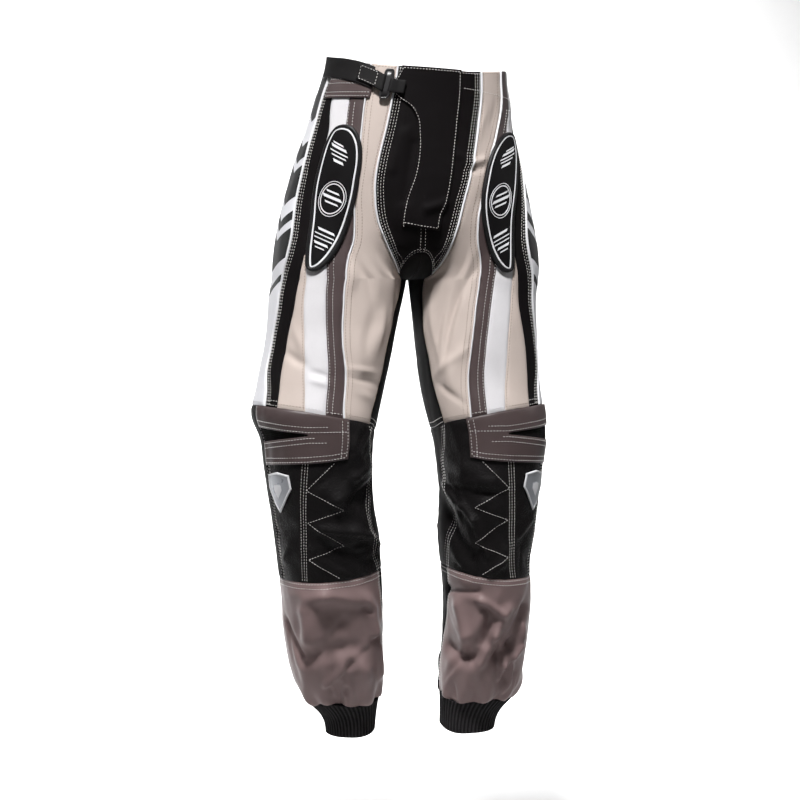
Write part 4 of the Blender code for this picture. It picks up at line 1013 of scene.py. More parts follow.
def shell(name, outer, inner, materials, **how):
    """A closed wall as an object, with its flat width, length and area noted."""
    *mesh, area = wall(outer, inner, len(materials), **how)
    vertices, faces, slots, smooth, maps = mesh
    made = link(name, vertices, faces, materials, slots, smooth, maps)
    width = np.linalg.norm(np.diff(outer, axis=1), axis=-1).sum(axis=1).max()
    length = np.linalg.norm(np.diff(outer, axis=0), axis=-1).sum(axis=0).max()
    FLAT[name] = (float(width) * MM, float(length) * MM, float(area) * MM * MM)
    return made


def cloth_shell(name, side, grid, outs, under, materials, tier="thigh", read=None, **how):
    """A shell on the creased cloth: its outer side lies `outs` out from it, and its inner side `under`."""
    outer, inner = (skin(side, *grid, out, tier, read)[0] for out in (outs, under))
    return shell(name, outer, inner, materials, flip=side == RIGHT, **how)


print("shells so far:", len(FLAT))

# %% [markdown]
# ## Cut panels
# Each panel's grid is about 3 mm fine, with closer points along its edges, where the seam pulls the cloth in.
# A sewn edge lies about a millimetre lower than the panel itself, and it puckers a little along the thread.

# %% How a seam shapes the cloth
STEP = 3.2
EDGE_STEPS = np.array((0.0, 0.9, 2.2, 4.2))
SEAM_DIP, DIP_WIDTH = 1.15, 2.4
PUCKER_DEPTH, PUCKER_SPAN, PUCKER_SIZE = 0.55, 9.0, 8.0
EDGE_ROLL = 1.4


def edge_distances(cut, side, share, nominal, height):
    """Millimetres from each of the panel's four edges."""
    mm = per_percent(side, share, height)
    start = (share - seam(side, cut["start"], nominal)) * mm
    stop = (seam(side, cut["stop"], nominal) - share) * mm
    return start, stop, cut["first"] - nominal, nominal - cut["last"]


def seam_relief(cut, side, share, nominal, height):
    """The dip and the puckers that a seam makes in the cloth beside it."""
    nearest = np.minimum.reduce(edge_distances(cut, side, share, nominal, height))
    nearest = np.maximum(nearest, 0)
    plain = plain_point(side, share, height)
    dip = -SEAM_DIP * np.exp(-((nearest / DIP_WIDTH) ** 2))
    pucker = PUCKER_DEPTH * wander(plain, PUCKER_SIZE, 2.7) * np.exp(-nearest / PUCKER_SPAN)
    return dip + pucker * (nearest > 0.5)


def rolled_edge(nearest, depth):
    """How far the edge of a piece that lies on others turns down, by the distance from it."""
    return -depth * np.exp(-((nearest / EDGE_ROLL) ** 2))


def spaced(length, step=STEP, edges=EDGE_STEPS):
    """Places from 0 to 1 along a length, closer together at both ends."""
    near = edges * min(1.0, length / (4.2 * edges[-1]))
    middle = length - 2 * near[-1]
    count = max(int(round(middle / step)), 1)
    inside = near[-1] + middle * np.arange(1, count) / count
    return np.concatenate([near, inside, (length - near)[::-1]]) / length


def laid_out(rows, start, stop, part):
    """Two grids: the shares between two lines, and the rows' nominal heights."""
    return start[:, None] + (stop - start)[:, None] * part, np.repeat(rows[:, None], len(part), axis=1)


def inset(height):
    """Draws the first and the last row in a little, so that neighbours never touch."""
    height[0] -= EDGE_INSET
    height[-1] += EDGE_INSET
    return height


def trimmed(side, read, height, gap):
    """The grid's own shares, with both upright edges drawn in by a gap in millimetres."""
    share = read.copy()
    for column, toward in ((0, 1), (-1, -1)):
        share[:, column] += toward * gap / per_percent(side, share[:, column], height[:, column])
    return share


print("steps along a 100 mm edge:", len(spaced(100.0)) - 1)


# %% Sew one panel
def cut_grid(cut, side):
    """Shares, the shares that normals are read at, nominal and true heights of a panel's grid."""
    first, last = cut["first"], cut["last"]
    rows = first + (last - first) * spaced(first - last)
    bends = [bend for bend in (CROTCH, YOKE_BEND) if last < bend < first]
    rows = np.unique(np.concatenate([rows, bends]))[::-1]
    start, stop = seam(side, cut["start"], rows), seam(side, cut["stop"], rows)
    widths = (stop - start) * per_percent(side, (start + stop) / 2, rows)
    read, nominal = laid_out(rows, start, stop, spaced(float(widths.max())))
    height = inset(level(cut["tier"], side, read, nominal, cut["shape"]))
    return trimmed(side, read, height, SEAM_GAP / 2), read, nominal, height


def sew_panel(name, cut, side, materials):
    """One cut panel as a creased shell between its seams."""
    share, read, nominal, height = cut_grid(cut, side)
    outs = seam_relief(cut, side, read, nominal, height)
    return cloth_shell(name, side, (share, height), outs, -CLOTH, materials, cut["tier"], read)


print("a cut grid gives each point its share and its height")

# %% The list of panels
def cut_of(tier, start, stop, first, last, shape=""):
    """A panel's cut as a small dictionary."""
    ends = {"start": start, "stop": stop, "first": float(first), "last": float(last)}
    return {"tier": tier, "shape": shape, **ends}


CUTS = {
    "front_yoke": cut_of("thigh", 0, "rise", 8, -281, "over_arch"),
    "front_cream": cut_of("thigh", "piping_end", "cream", 8, -500),
    "taupe_stripe": cut_of("thigh", ("cream", THIN_PIPING_WIDTH), "taupe", 8, -500),
    "white_stripe": cut_of("thigh", "taupe", "white", 8, -500),
    "cream_side_stripe": cut_of("thigh", "white", "cream_side", -265, -500),
    "black_side": cut_of("thigh", "cream_side", "black", 8, -500),
    "side_panel": cut_of("thigh", ("black", PIPING_WIDTH), "side_panel", 8, -500),
    "seat_back": cut_of("thigh", "side_panel", 100, -38, -500),
    "inner_thigh": cut_of("thigh", 0, "piping_end", -281, -500, "under_arch"),
    "knee_panel": cut_of("knee", "inner", "middle", -500, -745),
    "knee_side": cut_of("knee", "middle", OUTER_KNEE_SEAM, -560, -745),
    "knee_back": cut_of("knee", OUTER_KNEE_SEAM, "inner_round", -500, -745),
    "calf_front": cut_of("calf", "inner", OUTER_CALF_SEAM, -745, -940),
    "calf_back": cut_of("calf", OUTER_CALF_SEAM, "inner_round", -745, -940),
}
PANEL_CLOTH = {
    "front_yoke": BLACK_CLOTH, "front_cream": CREAM_CLOTH, "taupe_stripe": TAUPE_CLOTH,
    "white_stripe": WHITE_CLOTH, "cream_side_stripe": CREAM_CLOTH, "black_side": BLACK_CLOTH,
    "side_panel": PRINTED_CLOTH, "seat_back": BACK_CLOTH, "inner_thigh": BACK_CLOTH,
    "knee_panel": KNEE_LEATHER, "knee_side": KNEE_LEATHER, "knee_back": BACK_CLOTH,
    "calf_front": CALF_CLOTH, "calf_back": BACK_CLOTH,
}
for (label, side), (title, cut) in itertools.product(SIDES.items(), CUTS.items()):
    sew_panel(f"{title}_{label}", cut, side, (PANEL_CLOTH[title], REVERSE_CLOTH))
print("panels:", len(MADE), "faces:", sum(len(made.data.polygons) for made in MADE.values()))

# %% [markdown]
# ## Piping
# Piping is a thin cord wrapped in white cloth and caught in the seam, so it stands up as a round bead.
# A half circle across a narrow strip gives that bead its highlight and its thin shadow.

# %% Piping
PIPING_RAISE, PIPING_COLUMNS = 1.7, 9
PIPINGS = (
    ("rise_piping", "rise", "piping_end", -281),
    ("thin_piping", "cream", ("cream", THIN_PIPING_WIDTH), -500),
    ("side_piping", "black", ("black", PIPING_WIDTH), -500),
)
part = (1 - np.cos(math.pi * np.arange(PIPING_COLUMNS) / (PIPING_COLUMNS - 1))) / 2
for (label, side), (title, start, stop, last) in itertools.product(SIDES.items(), PIPINGS):
    rows = WAIST_TOP + (last - WAIST_TOP) * spaced(WAIST_TOP - last, 2.6)
    read, nominal = laid_out(rows, seam(side, start, rows), seam(side, stop, rows), part)
    height = inset(level("thigh", side, read, nominal))
    share = read + np.linspace(1, -1, len(part)) * SEAM_GAP / 2 / per_percent(side, read, height)
    bead = -SEAM_DIP + (PIPING_RAISE + SEAM_DIP) * np.sqrt(np.clip(1 - (2 * part - 1) ** 2, 0, 1))
    bead = bead[None, :] + 0.12 * wander(plain_point(side, share, height), 5.0, 1.1)
    cloth_shell(f"{title}_{label}", side, (share, height), bead, -CLOTH, (PIPING_CLOTH,), "thigh", read)
print("pieces so far:", len(MADE))

# %% [markdown]
# ## Stretch insert above the knee
# An elastic panel lets the knee bend. It is sewn in narrow sideways ribs that open and close like an
# accordion. The ribs are real waves in the shell, since they catch the light in the wedge that stays open.

# %% Knee stretch
STRETCH_RIBS, STRETCH_DEPTH, RIB_ROWS, STRETCH_GAP = 22, 1.2, 6, 0.4
STRETCH_TOP, STRETCH_FOOT, STRETCH_WIDTH = -500, -560, 75.0
for label, side in SIDES.items():
    rows = np.linspace(STRETCH_TOP, STRETCH_FOOT, STRETCH_RIBS * RIB_ROWS + 1)
    start, stop = seam(side, "middle", rows), seam(side, OUTER_KNEE_SEAM, rows)
    read, nominal = laid_out(rows, start, stop, spaced(STRETCH_WIDTH, 3.5))
    height = inset(level("knee", side, read, nominal))
    share = trimmed(side, read, height, STRETCH_GAP)
    phase = math.pi * STRETCH_RIBS * (nominal - STRETCH_TOP) / (STRETCH_TOP - STRETCH_FOOT)
    ribs = STRETCH_DEPTH * (np.abs(np.sin(phase)) - 0.9)
    finishes = (STRETCH_KNIT, REVERSE_CLOTH)
    cloth_shell(f"knee_stretch_{label}", side, (share, height), ribs, -CLOTH - 0.6, finishes, "knee", read)
print("ribs on each stretch insert:", STRETCH_RIBS)

# %% [markdown]
# ## Knee band
# A taupe band crosses the top of each knee and divides into two flaps, with the stretch insert showing
# between them.
# It lies on the other panels, so it is made from their points, moved out.

# %% Knee band
BAND_LIFT, BAND_FORK, BAND_START, BAND_SPAN, BAND_END = 2.0, 28.2, 17.6, 26.2, 43.8
BAND_WIDTH, FLAP_HEIGHT, BAND_PERCENT_MM, FAR = 118.0, 32.0, 4.5, 99


def band_edges(share):
    """The heights of the band's four edges at each share: top, upper flap's foot, lower flap's head, bottom."""
    open_by = np.clip((share - BAND_FORK) / (BAND_END - BAND_FORK), 0, 1)
    top = EDGES.at("knee", share) - 0.4
    bottom = np.interp(share, (BAND_START, 22, 29, 44), (-562, -566, -569, -572))
    return top, -526 + 10 * open_by, -528.6 - 9.4 * open_by, bottom


for label, side in SIDES.items():
    shares = np.unique(np.append(BAND_START + BAND_SPAN * spaced(BAND_WIDTH, 2.8), BAND_FORK))
    top, upper, lower, bottom = band_edges(shares)
    flap = spaced(FLAP_HEIGHT, 2.8)[:, None]
    height = np.concatenate([top + (upper - top) * flap, lower + (bottom - lower) * flap])
    share = np.repeat(shares[None, :], len(height), axis=0)
    keep = np.ones((len(height) - 1, len(shares) - 1), bool)
    keep[len(flap) - 1] = shares[1:] <= BAND_FORK + 0.01
    ends = np.minimum(share - BAND_START, BAND_END - share) * BAND_PERCENT_MM
    is_open = share > BAND_FORK
    along = np.where(
        np.arange(len(height))[:, None] < len(flap),
        np.minimum(top - height, np.where(is_open, height - upper, FAR)),
        np.minimum(np.where(is_open, lower - height, FAR), height - bottom),
    )
    nearest = np.maximum(np.minimum(ends, along), 0)
    plain = plain_point(side, share, height)
    outs = BAND_LIFT + CLOTH + rolled_edge(nearest, 0.8)
    outs = outs + 0.45 * wander(plain, 9.0, 4.4) * np.exp(-nearest / 12)
    outs = outs + 0.7 * wander(plain, 19.0, 8.1) * np.clip(nearest / 6, 0, 1)
    finishes = (TAUPE_CLOTH, REVERSE_CLOTH)
    cloth_shell(f"knee_band_{label}", side, (share, height), outs, BAND_LIFT, finishes, "knee", keep=keep)
print("band flaps meet at", BAND_FORK, "percent")

# %% [markdown]
# ## Fly flap
# A wide black flap covers the zip. Its curved edge runs from the belt down the wearer's right, and it is
# sewn all round.
# The two front yokes meet under it, so each of its points is read from the yoke that it lies on.

# %% Fly flap
FLAP = Table(
    ("height", "right_edge", "left_edge"),
    (8, -13.4, 7),
    (-38, -12.8, 7),
    (-47, -9, 7),
    (-62, -6, 7),
    (-90, -4, 7),
    (-120, -3, 7),
    (-150, -3, 7),
    (-181, -4, 6.5),
    (-216, -4.8, 4.4),
)
FLAP_LIFT, FLAP_LENGTH, FLAP_WIDTH, FLAP_DROP, LEAST_SHARE = 1.6, 224.0, 50.0, 6, 0.4


def across_front(signed_share, height, out):
    """Posed points on either side of the centre front, the wearer's right being negative."""
    right_half, right_normal = skin(RIGHT, np.maximum(-signed_share, 0), height, out)
    left_half, left_normal = skin(LEFT, np.maximum(signed_share, 0), height, out)
    on_right = (signed_share < 0)[..., None]
    return np.where(on_right, right_half, left_half), np.where(on_right, right_normal, left_normal)


def flap_rows(rows, part):
    """Signed shares and heights of the flap's grid, its foot slightly lower on the left."""
    share, height = laid_out(rows, FLAP.at("right_edge", rows), FLAP.at("left_edge", rows), part)
    share = np.where(np.abs(share) < LEAST_SHARE, np.where(share < 0, -LEAST_SHARE, LEAST_SHARE), share)
    return share, height - FLAP_DROP * part * np.clip((-181 - height) / 35, 0, 1)


rows = WAIST_TOP - FLAP_LENGTH * spaced(FLAP_LENGTH, 2.8)
part = spaced(FLAP_WIDTH, 2.6)
share, height = flap_rows(rows, part)
widths = (FLAP.at("left_edge", rows) - FLAP.at("right_edge", rows))[:, None] * PERCENT_MM
above_foot = height - (WAIST_TOP - FLAP_LENGTH - FLAP_DROP)
nearest = np.minimum.reduce([part * widths, (1 - part) * widths, WAIST_TOP - height, above_foot])
nearest = np.maximum(nearest, 0)
flat = np.stack([share * PERCENT_MM, height, share * 0], axis=-1)
outs = FLAP_LIFT + CLOTH + rolled_edge(nearest, 0.7)
outs = outs + 0.3 * wander(flat, 10.0) * np.exp(-nearest / 10)
outer, _ = across_front(share, height, outs)
inner, _ = across_front(share, height, np.full(share.shape, FLAP_LIFT))
shell("fly_flap", outer, inner, (BLACK_CLOTH, REVERSE_CLOTH))
print("fly flap:", [round(x, 3) for x in FLAT["fly_flap"][:2]], "m")

# %% [markdown]
# ## Waist
# The back waistband is elastic, so it draws into many short upright gathers.
# In front of it, on the wearer's right, a taupe patch backs the belt.

# %% Back waistband and waist patch
WAISTBAND_HEIGHT, HALF_BAND, BAND_MIDDLE = 46.0, 180.0, 99.6
part = spaced(HALF_BAND, 2.4)
rows = WAIST_TOP - WAISTBAND_HEIGHT * spaced(WAISTBAND_HEIGHT, 2.4)
halves = []
for side in (RIGHT, LEFT):
    read, nominal = laid_out(rows, seam(side, "side_panel", rows), np.full(len(rows), BAND_MIDDLE), part)
    height = level("thigh", side, read, nominal)
    height[-1] += SEAM_GAP / 2
    share = read.copy()
    share[:, 0] += SEAM_GAP / 2 / per_percent(side, share[:, 0], height[:, 0])
    middle = np.sin(math.pi * (WAIST_TOP - nominal) / WAISTBAND_HEIGHT)
    gathers = 0.9 * middle * np.sin(share * 2.6 + 1.5 * wander(plain_point(side, share, height), 22.0))
    halves.append([skin(side, share, height, outs, "thigh", read)[0] for outs in (gathers - 0.3, -CLOTH)])
outer, inner = (np.concatenate([halves[0][k], halves[1][k][:, ::-1]], axis=1) for k in (0, 1))
shell("back_waistband", outer, inner, (BACK_CLOTH, REVERSE_CLOTH), flip=True)

PATCH_START, PATCH_SPAN, PATCH_TOP, PATCH_HEIGHT, PATCH_LIFT = 22.5, 22, -12, 29.0, 1.3
PATCH_PERCENT_MM = 4
shares = PATCH_START + PATCH_SPAN * spaced(PATCH_SPAN * PATCH_PERCENT_MM, 2.8)
rows = PATCH_TOP - PATCH_HEIGHT * spaced(PATCH_HEIGHT, 2.8)
share, height = np.meshgrid(shares, rows)
from_sides = np.minimum(share - PATCH_START, PATCH_START + PATCH_SPAN - share) * PATCH_PERCENT_MM
from_ends = np.minimum(PATCH_TOP - height, height - (PATCH_TOP - PATCH_HEIGHT))
outs = PATCH_LIFT + CLOTH + rolled_edge(np.maximum(np.minimum(from_sides, from_ends), 0), 0.6)
cloth_shell("waist_patch", RIGHT, (share, height), outs, PATCH_LIFT, (TAUPE_CLOTH, REVERSE_CLOTH))
print("waist patch:", [round(x, 3) for x in FLAT["waist_patch"][:2]], "m")

# %% [markdown]
# ## Belt
# A webbing strap comes round the wearer's right side. A short tab folds over one bar of the buckle ring and is
# sewn down, and a loop fixed under the flap holds the other bar. The ring stays fastened, as shown.

# %% Belt webbing
STRAP_THICKNESS, STRAP_UNDER, STRAP_OVER = 1.7, 4.2, 9.4
RING_MIDDLE, RING_HALF, BELT_PERCENT_MM = 17.5, 1.55, 3.9
BELT_LINE = Table(
    ("share", "height"),
    (56, 8),
    (46, 4),
    (36, 0),
    (29, -5),
    (22, -14),
    (18, -21),
    (11, -24),
)


def fold_round(top_end, under_end, bend):
    """A strap's path that goes over a bar, round it and back under: shares with millimetres out."""
    middle, radius = (STRAP_OVER + STRAP_UNDER) / 2, (STRAP_OVER - STRAP_UNDER) / 2
    toward = 1 if top_end > bend else -1
    outs = (7.3, 7.3, 8.4, STRAP_OVER)
    path = list(zip(np.interp((0, 0.5, 0.82, 1), (0, 1), (top_end, bend)), outs))
    for angle in (30, 60, 90, 120, 150):
        swing = math.radians(angle)
        around = toward * radius * math.sin(swing) / BELT_PERCENT_MM
        path.append((bend - around, middle + radius * math.cos(swing)))
    return path + [(bend, STRAP_UNDER), (under_end, STRAP_UNDER)]


def ribbon(name, path, half_width):
    """A strap of even thickness with rounded long edges, on the belt's own line."""
    path, unit = np.array(path, float), (BELT_PERCENT_MM, 1.0)
    ends = np.cumsum(np.append(0, np.linalg.norm(np.diff(path * unit, axis=0), axis=1)))
    fine = np.linspace(0, ends[-1], max(int(ends[-1] / 1.5), 8))
    path = np.stack([np.interp(fine, ends, path[:, k]) for k in (0, 1)], axis=-1)
    flat = path * unit
    along = np.gradient(flat, axis=0)
    along /= np.linalg.norm(along, axis=1, keepdims=True)
    normal = np.stack([-along[:, 1], along[:, 0]], axis=-1)
    if normal[0, 1] < 0:
        normal = -normal
    across = np.array((1, 0.97, 0.9, 0.6, 0.3, 0, -0.3, -0.6, -0.9, -0.97, -1))
    thin = np.sqrt(np.clip(1 - (np.clip(np.abs(across) - 0.86, 0, 1) / 0.15) ** 2, 0.12, 1))
    grids = []
    for lift in (STRAP_THICKNESS / 2, -STRAP_THICKNESS / 2):
        moved = (flat[None] + normal[None] * (lift * thin)[:, None, None]) / unit
        height = BELT_LINE.at("height", moved[..., 0]) + (half_width * across)[:, None]
        grids.append(firm(RIGHT, moved[..., 0], height, moved[..., 1]))
    falling = path[0, 0] > path[-1, 0]
    return shell(name, grids[0], grids[1], (WEBBING,), flip=not falling)


ribbon("belt_strap", [(s, 4.5) for s in np.linspace(52, 23.2, 11)], 15.5)
ribbon("belt_tab", fold_round(29.6, 22.4, RING_MIDDLE + RING_HALF), 11.5)
ribbon("belt_anchor", fold_round(11.2, 12.4, RING_MIDDLE - RING_HALF), 9.5)
print("belt strap:", [round(x, 3) for x in FLAT["belt_strap"][:2]], "m")

# %% Buckle ring
def tube_loop(points, normals, radius, sides=12):
    """The vertices and faces of a closed round bar along a loop of points."""
    along = np.roll(points, -1, axis=0) - np.roll(points, 1, axis=0)
    along /= np.linalg.norm(along, axis=1, keepdims=True)
    beside = np.cross(along, normals)
    beside /= np.linalg.norm(beside, axis=1, keepdims=True)
    upright = np.cross(beside, along)
    angles = 2 * math.pi * np.arange(sides) / sides
    rings = [points + radius * (math.cos(a) * beside + math.sin(a) * upright) for a in angles]
    count = len(points)
    faces = []
    for i, k in itertools.product(range(count), range(sides)):
        here, ahead, beyond = i * sides, (i + 1) % count * sides, (k + 1) % sides
        faces.append((ahead + k, ahead + beyond, here + beyond, here + k))
    return np.stack(rings, axis=1).reshape(-1, 3), faces


def ring_faces(rings, count, first=0):
    """Faces between rings of `count` points that follow one another in a list of points."""
    return [
        (here + i, here + (i + 1) % count, here + count + (i + 1) % count, here + count + i)
        for here in range(first, first + (rings - 1) * count, count) for i in range(count)
    ]


turn = 2 * math.pi * np.arange(72) / 72
RING_RADIUS, PLATE_THICKNESS, RING_HEIGHT, RING_HALF_HEIGHT, CORNER_POWER = 1.7, 1.4, -20.5, 20.5, 0.4
ring_out = (STRAP_UNDER + STRAP_OVER) / 2


def squared(wave):
    """A circle's coordinate, pushed out so that the loop's corners are nearly square."""
    return np.sign(wave) * np.abs(wave) ** CORNER_POWER


def in_ring(size, out):
    """Points of the ring's outline, drawn in to a share of its size."""
    share = RING_MIDDLE + size * RING_HALF * squared(np.cos(turn))
    height = RING_HEIGHT + size * RING_HALF_HEIGHT * squared(np.sin(turn))
    return firm(RIGHT, share, height, out), outward(RIGHT, share, height)


bar, bar_faces = tube_loop(*in_ring(1.0, ring_out), RING_RADIUS)
plate = [
    in_ring(size, ring_out + face * PLATE_THICKNESS / 2)[0]
    for size, face in ((0.02, 1), (0.5, 1), (0.97, 1), (0.97, -1), (0.5, -1), (0.02, -1))
]
count, first = len(turn), len(bar)
plate_faces = ring_faces(len(plate), count, first)
plate_faces.append(tuple(range(first + count - 1, first - 1, -1)))
plate_faces.append(tuple(range(first + (len(plate) - 1) * count, first + len(plate) * count)))
link("buckle_ring", np.concatenate([bar] + plate), bar_faces + plate_faces, (BUCKLE_METAL,))
print("buckle faces:", len(bar_faces) + len(plate_faces))

# %% [markdown]
# ## Cuffs
# The cuffs are rib knit, folded back on themselves at the foot, so their lower edge is round.
# Forty-eight ribs run down each one; rounded tops and narrow grooves make them read as knit from a step away.

# %% Rib knit cuffs
CUFF_RIB_DEPTH, RIB_POINTS, HEM_ROUND = 1.9, 6, 3.2
CUFF_TOP, CUFF_HEIGHT = -940, 60.0
rows = CUFF_TOP - CUFF_HEIGHT * spaced(CUFF_HEIGHT, 2.4)
count = CUFF_RIBS * RIB_POINTS
around = np.linspace(0, CUFF_ROUND, count, endpoint=False)
for label, side in SIDES.items():
    share, nominal = np.meshgrid(np.arange(count) * 100 / count, rows)
    height = level("ankle", side, share, nominal)
    height[0] -= SEAM_GAP / 2
    phase = math.pi * CUFF_RIBS * (share / 100 - 0.5 / CUFF_RIBS)
    ribs = CUFF_RIB_DEPTH * (np.abs(np.cos(phase)) ** 0.8 - 1)
    above_foot = nominal - (CUFF_TOP - CUFF_HEIGHT)
    into_hem = np.clip(HEM_ROUND - above_foot, 0, HEM_ROUND)
    fold = HEM_ROUND - np.sqrt(np.clip(HEM_ROUND**2 - into_hem**2, 0, None))
    sag = 0.9 * wander(plain_point(side, share, height), 26.0)
    lift = ribs - 0.85 * fold + sag
    plain, normal = plain_point(side, share, height), outward(side, share, height)
    outer = pose(plain + normal * lift[..., None])
    inner = pose(plain + normal * (sag - CLOTH - 1.0)[..., None])
    cuff_map = np.stack([np.repeat(around[None, :], len(rows), axis=0), height], axis=-1)
    shell(f"cuff_{label}", outer, inner, (CUFF_KNIT,), flip=side == RIGHT, closed=True, cloth_map=cuff_map)
print("ribs on each cuff:", CUFF_RIBS)

# %% [markdown]
# ## Hip pads
# Each pad is a moulded rubber plate, with a raised black rim, a thin white ring inside it and a dark field.
# Rings drawn in from the outline by even steps keep the rim one width all round, which scaling would not.
# The art on it is plain: a ringed set of slanted bars, and short bars above and below.

# %% Pad sizes
PAD = Table(
    ("height", "inner", "outer"),
    (-78, 28.6, 28.6),
    (-80, 26.2, 30.8),
    (-86, 23.6, 32.3),
    (-100, 20.4, 32.8),
    (-123, 17.8, 32),
    (-150, 16.5, 30.7),
    (-180, 16, 29.5),
    (-208, 17, 29),
    (-235, 19.4, 29.6),
    (-260, 22.6, 30.5),
    (-278, 25.6, 31),
    (-288, 28, 30.7),
    (-291, 29.4, 29.4),
)
PAD_MIDDLE, PAD_HALF = -184.5, 106.5
FIELD_OUT = 4.9
# Millimetres in from the outline, millimetres out from the cloth, and the finish: rubber, white or field.
PAD_RINGS = (
    (0.0, 1.7, 0), (0.0, 3.4, 0), (0.5, 4.9, 0), (1.5, 5.8, 0), (2.9, 6.0, 0), (4.2, 5.7, 0), (5.0, 4.9, 0),
    (5.6, 4.8, 1), (5.9, 5.3, 1), (6.7, 5.4, 1), (7.4, 5.3, 1), (7.7, 4.8, 2), (8.4, FIELD_OUT, 2),
)


print("pad rings:", len(PAD_RINGS))


# %% Outlines drawn in
def pad_spine(height):
    """The middle of the hip pad at each height."""
    return (PAD.at("inner", height) + PAD.at("outer", height)) / 2


def pad_outline(count=132):
    """The pad's outline in millimetres of cloth about its middle, at even steps."""
    turn = 2 * math.pi * np.arange(720) / 720
    height = PAD_MIDDLE + PAD_HALF * np.cos(turn)
    edge = np.where(np.sin(turn) > 0, PAD.at("outer", height), PAD.at("inner", height))
    plan = np.stack([(edge - pad_spine(PAD_MIDDLE)) * PERCENT_MM, height - PAD_MIDDLE], axis=-1)
    closed = np.vstack([plan, plan[:1]])
    ends = np.append(0, np.cumsum(np.linalg.norm(np.diff(closed, axis=0), axis=1)))
    at = np.linspace(0, ends[-1], count, endpoint=False)
    plan = np.stack([np.interp(at, ends, closed[:, k]) for k in (0, 1)], axis=-1)
    for _ in range(3):
        plan = (np.roll(plan, 1, axis=0) + 2 * plan + np.roll(plan, -1, axis=0)) / 4
    return plan


def drawn_in(plan, distance):
    """The outline moved in by even millimetres."""
    along = np.roll(plan, -1, axis=0) - np.roll(plan, 1, axis=0)
    along /= np.linalg.norm(along, axis=1, keepdims=True)
    toward = np.stack([along[:, 1], -along[:, 0]], axis=-1)
    centre = plan.mean(axis=0)
    if ((centre - plan) * toward).sum() < 0:
        toward = -toward
    return plan + toward * distance


def on_pad(side, plan, out):
    """Posed points of a plan in millimetres about the pad's middle."""
    share = pad_spine(PAD_MIDDLE) + plan[..., 0] / PERCENT_MM
    return firm(side, share, PAD_MIDDLE + plan[..., 1], out)


print("the pad's widest half in mm:", round(float(np.abs(pad_outline()[:, 0]).max()), 1))


# %% Pad plates
def stacked(rings, slots, caps, cap_slots, side):
    """A moulded solid from rings, closed by two middle points: its vertices, faces and their finishes."""
    count = len(rings[0])
    last = (len(rings) - 1) * count
    vertices = np.concatenate(rings + caps)
    faces = ring_faces(len(rings), count)
    face_slots = [slot for slot in slots[:-1] for _ in range(count)]
    for i in range(count):
        j = (i + 1) % count
        faces += [(last + i, last + j, len(vertices) - 2), (j, i, len(vertices) - 1)]
        face_slots += cap_slots
    if side == LEFT:
        faces = [face[::-1] for face in faces]
    return vertices, faces, face_slots


for label, side in SIDES.items():
    plan = pad_outline()
    rings = [on_pad(side, drawn_in(plan, inward), out) for inward, out, _ in PAD_RINGS]
    last = drawn_in(plan, PAD_RINGS[-1][0])
    centre = last.mean(axis=0)
    field = [on_pad(side, centre + (last - centre) * scale, FIELD_OUT) for scale in np.linspace(0.92, 0.08, 12)]
    slots = [finish for _, _, finish in PAD_RINGS] + [2] * len(field)
    caps = [on_pad(side, centre[None], FIELD_OUT), on_pad(side, centre[None], PAD_RINGS[0][1])]
    vertices, faces, slots = stacked(rings + field, slots, caps, [2, 0], side)
    link(f"hip_pad_{label}", vertices, faces, (PAD_RUBBER, PAD_WHITE, PAD_FIELD), slots)
print("rings with the field:", len(rings) + len(field))

# %% Plain raised art on the pads
ART_RAISE, ART_ROOT = 0.7, 0.4
# Middle across from the pad's own middle line and up from its centre, half length, half width, all in
# millimetres.
BARS = (
    (5, 78, 9, 1.3), (3, 72.5, 13, 2.2), (2, 65.5, 15, 1.1), (1, 60, 12, 1.1), (0, 53, 8, 2.2),
    (0, 9.5, 9, 1.6), (0, 1.5, 13, 2.6), (0, -6.5, 9, 1.6),
    (0, -46, 11, 2.0), (1, -52.5, 13, 1.0), (1, -58, 12, 1.0), (2, -64.5, 9, 2.0), (2, -70.5, 6, 1.0),
)
BAR_SLOPE = 0.42
RINGS = ((21.5, 1.5), (25.2, 0.9))


def beside_pad_line(side, across, up, out):
    """Posed points at millimetres across from the pad's middle line and up from its centre."""
    height = PAD_MIDDLE + up
    return firm(side, pad_spine(height) + across / PERCENT_MM, height, out)


for label, side in SIDES.items():
    walls = []
    for across, up, half_length, half_width in BARS:
        run = np.linspace(-1, 1, 9)[None, :] * half_length
        off = np.linspace(1, -1, 3)[:, None] * half_width
        place = (across + run + off * 0.5, up + run * BAR_SLOPE + off)
        grids = [beside_pad_line(side, *place, FIELD_OUT + out) for out in (ART_RAISE, -ART_ROOT)]
        walls.append(wall(*grids, flip=side == RIGHT))
    around = 2 * math.pi * np.arange(72) / 72
    for radius, width in RINGS:
        across, up = (
            np.stack([scale * (radius + width * k) * wave(around) for k in (0.5, 0, -0.5)])
            for scale, wave in ((0.74, np.sin), (1.0, np.cos))
        )
        grids = [beside_pad_line(side, across, up, FIELD_OUT + out) for out in (ART_RAISE, -ART_ROOT)]
        walls.append(wall(*grids, flip=side == RIGHT, closed=True))
    vertices, faces = [], []
    for piece_vertices, piece_faces, *_ in walls:
        start = sum(len(group) for group in vertices)
        vertices.append(piece_vertices)
        faces += [tuple(i + start for i in face) for face in piece_faces]
    link(f"pad_art_{label}", np.concatenate(vertices), faces, (PAD_WHITE,), smooth=[False] * len(faces))
print("bars on each pad:", len(BARS))

# %% [markdown]
# ## Knee badges
# A small moulded badge is sewn on the outer side of each knee. It is left plain: a pale rim round a grey field,
# with one raised middle. It is made of rings like the hip pads, drawn in from a shield's corners.

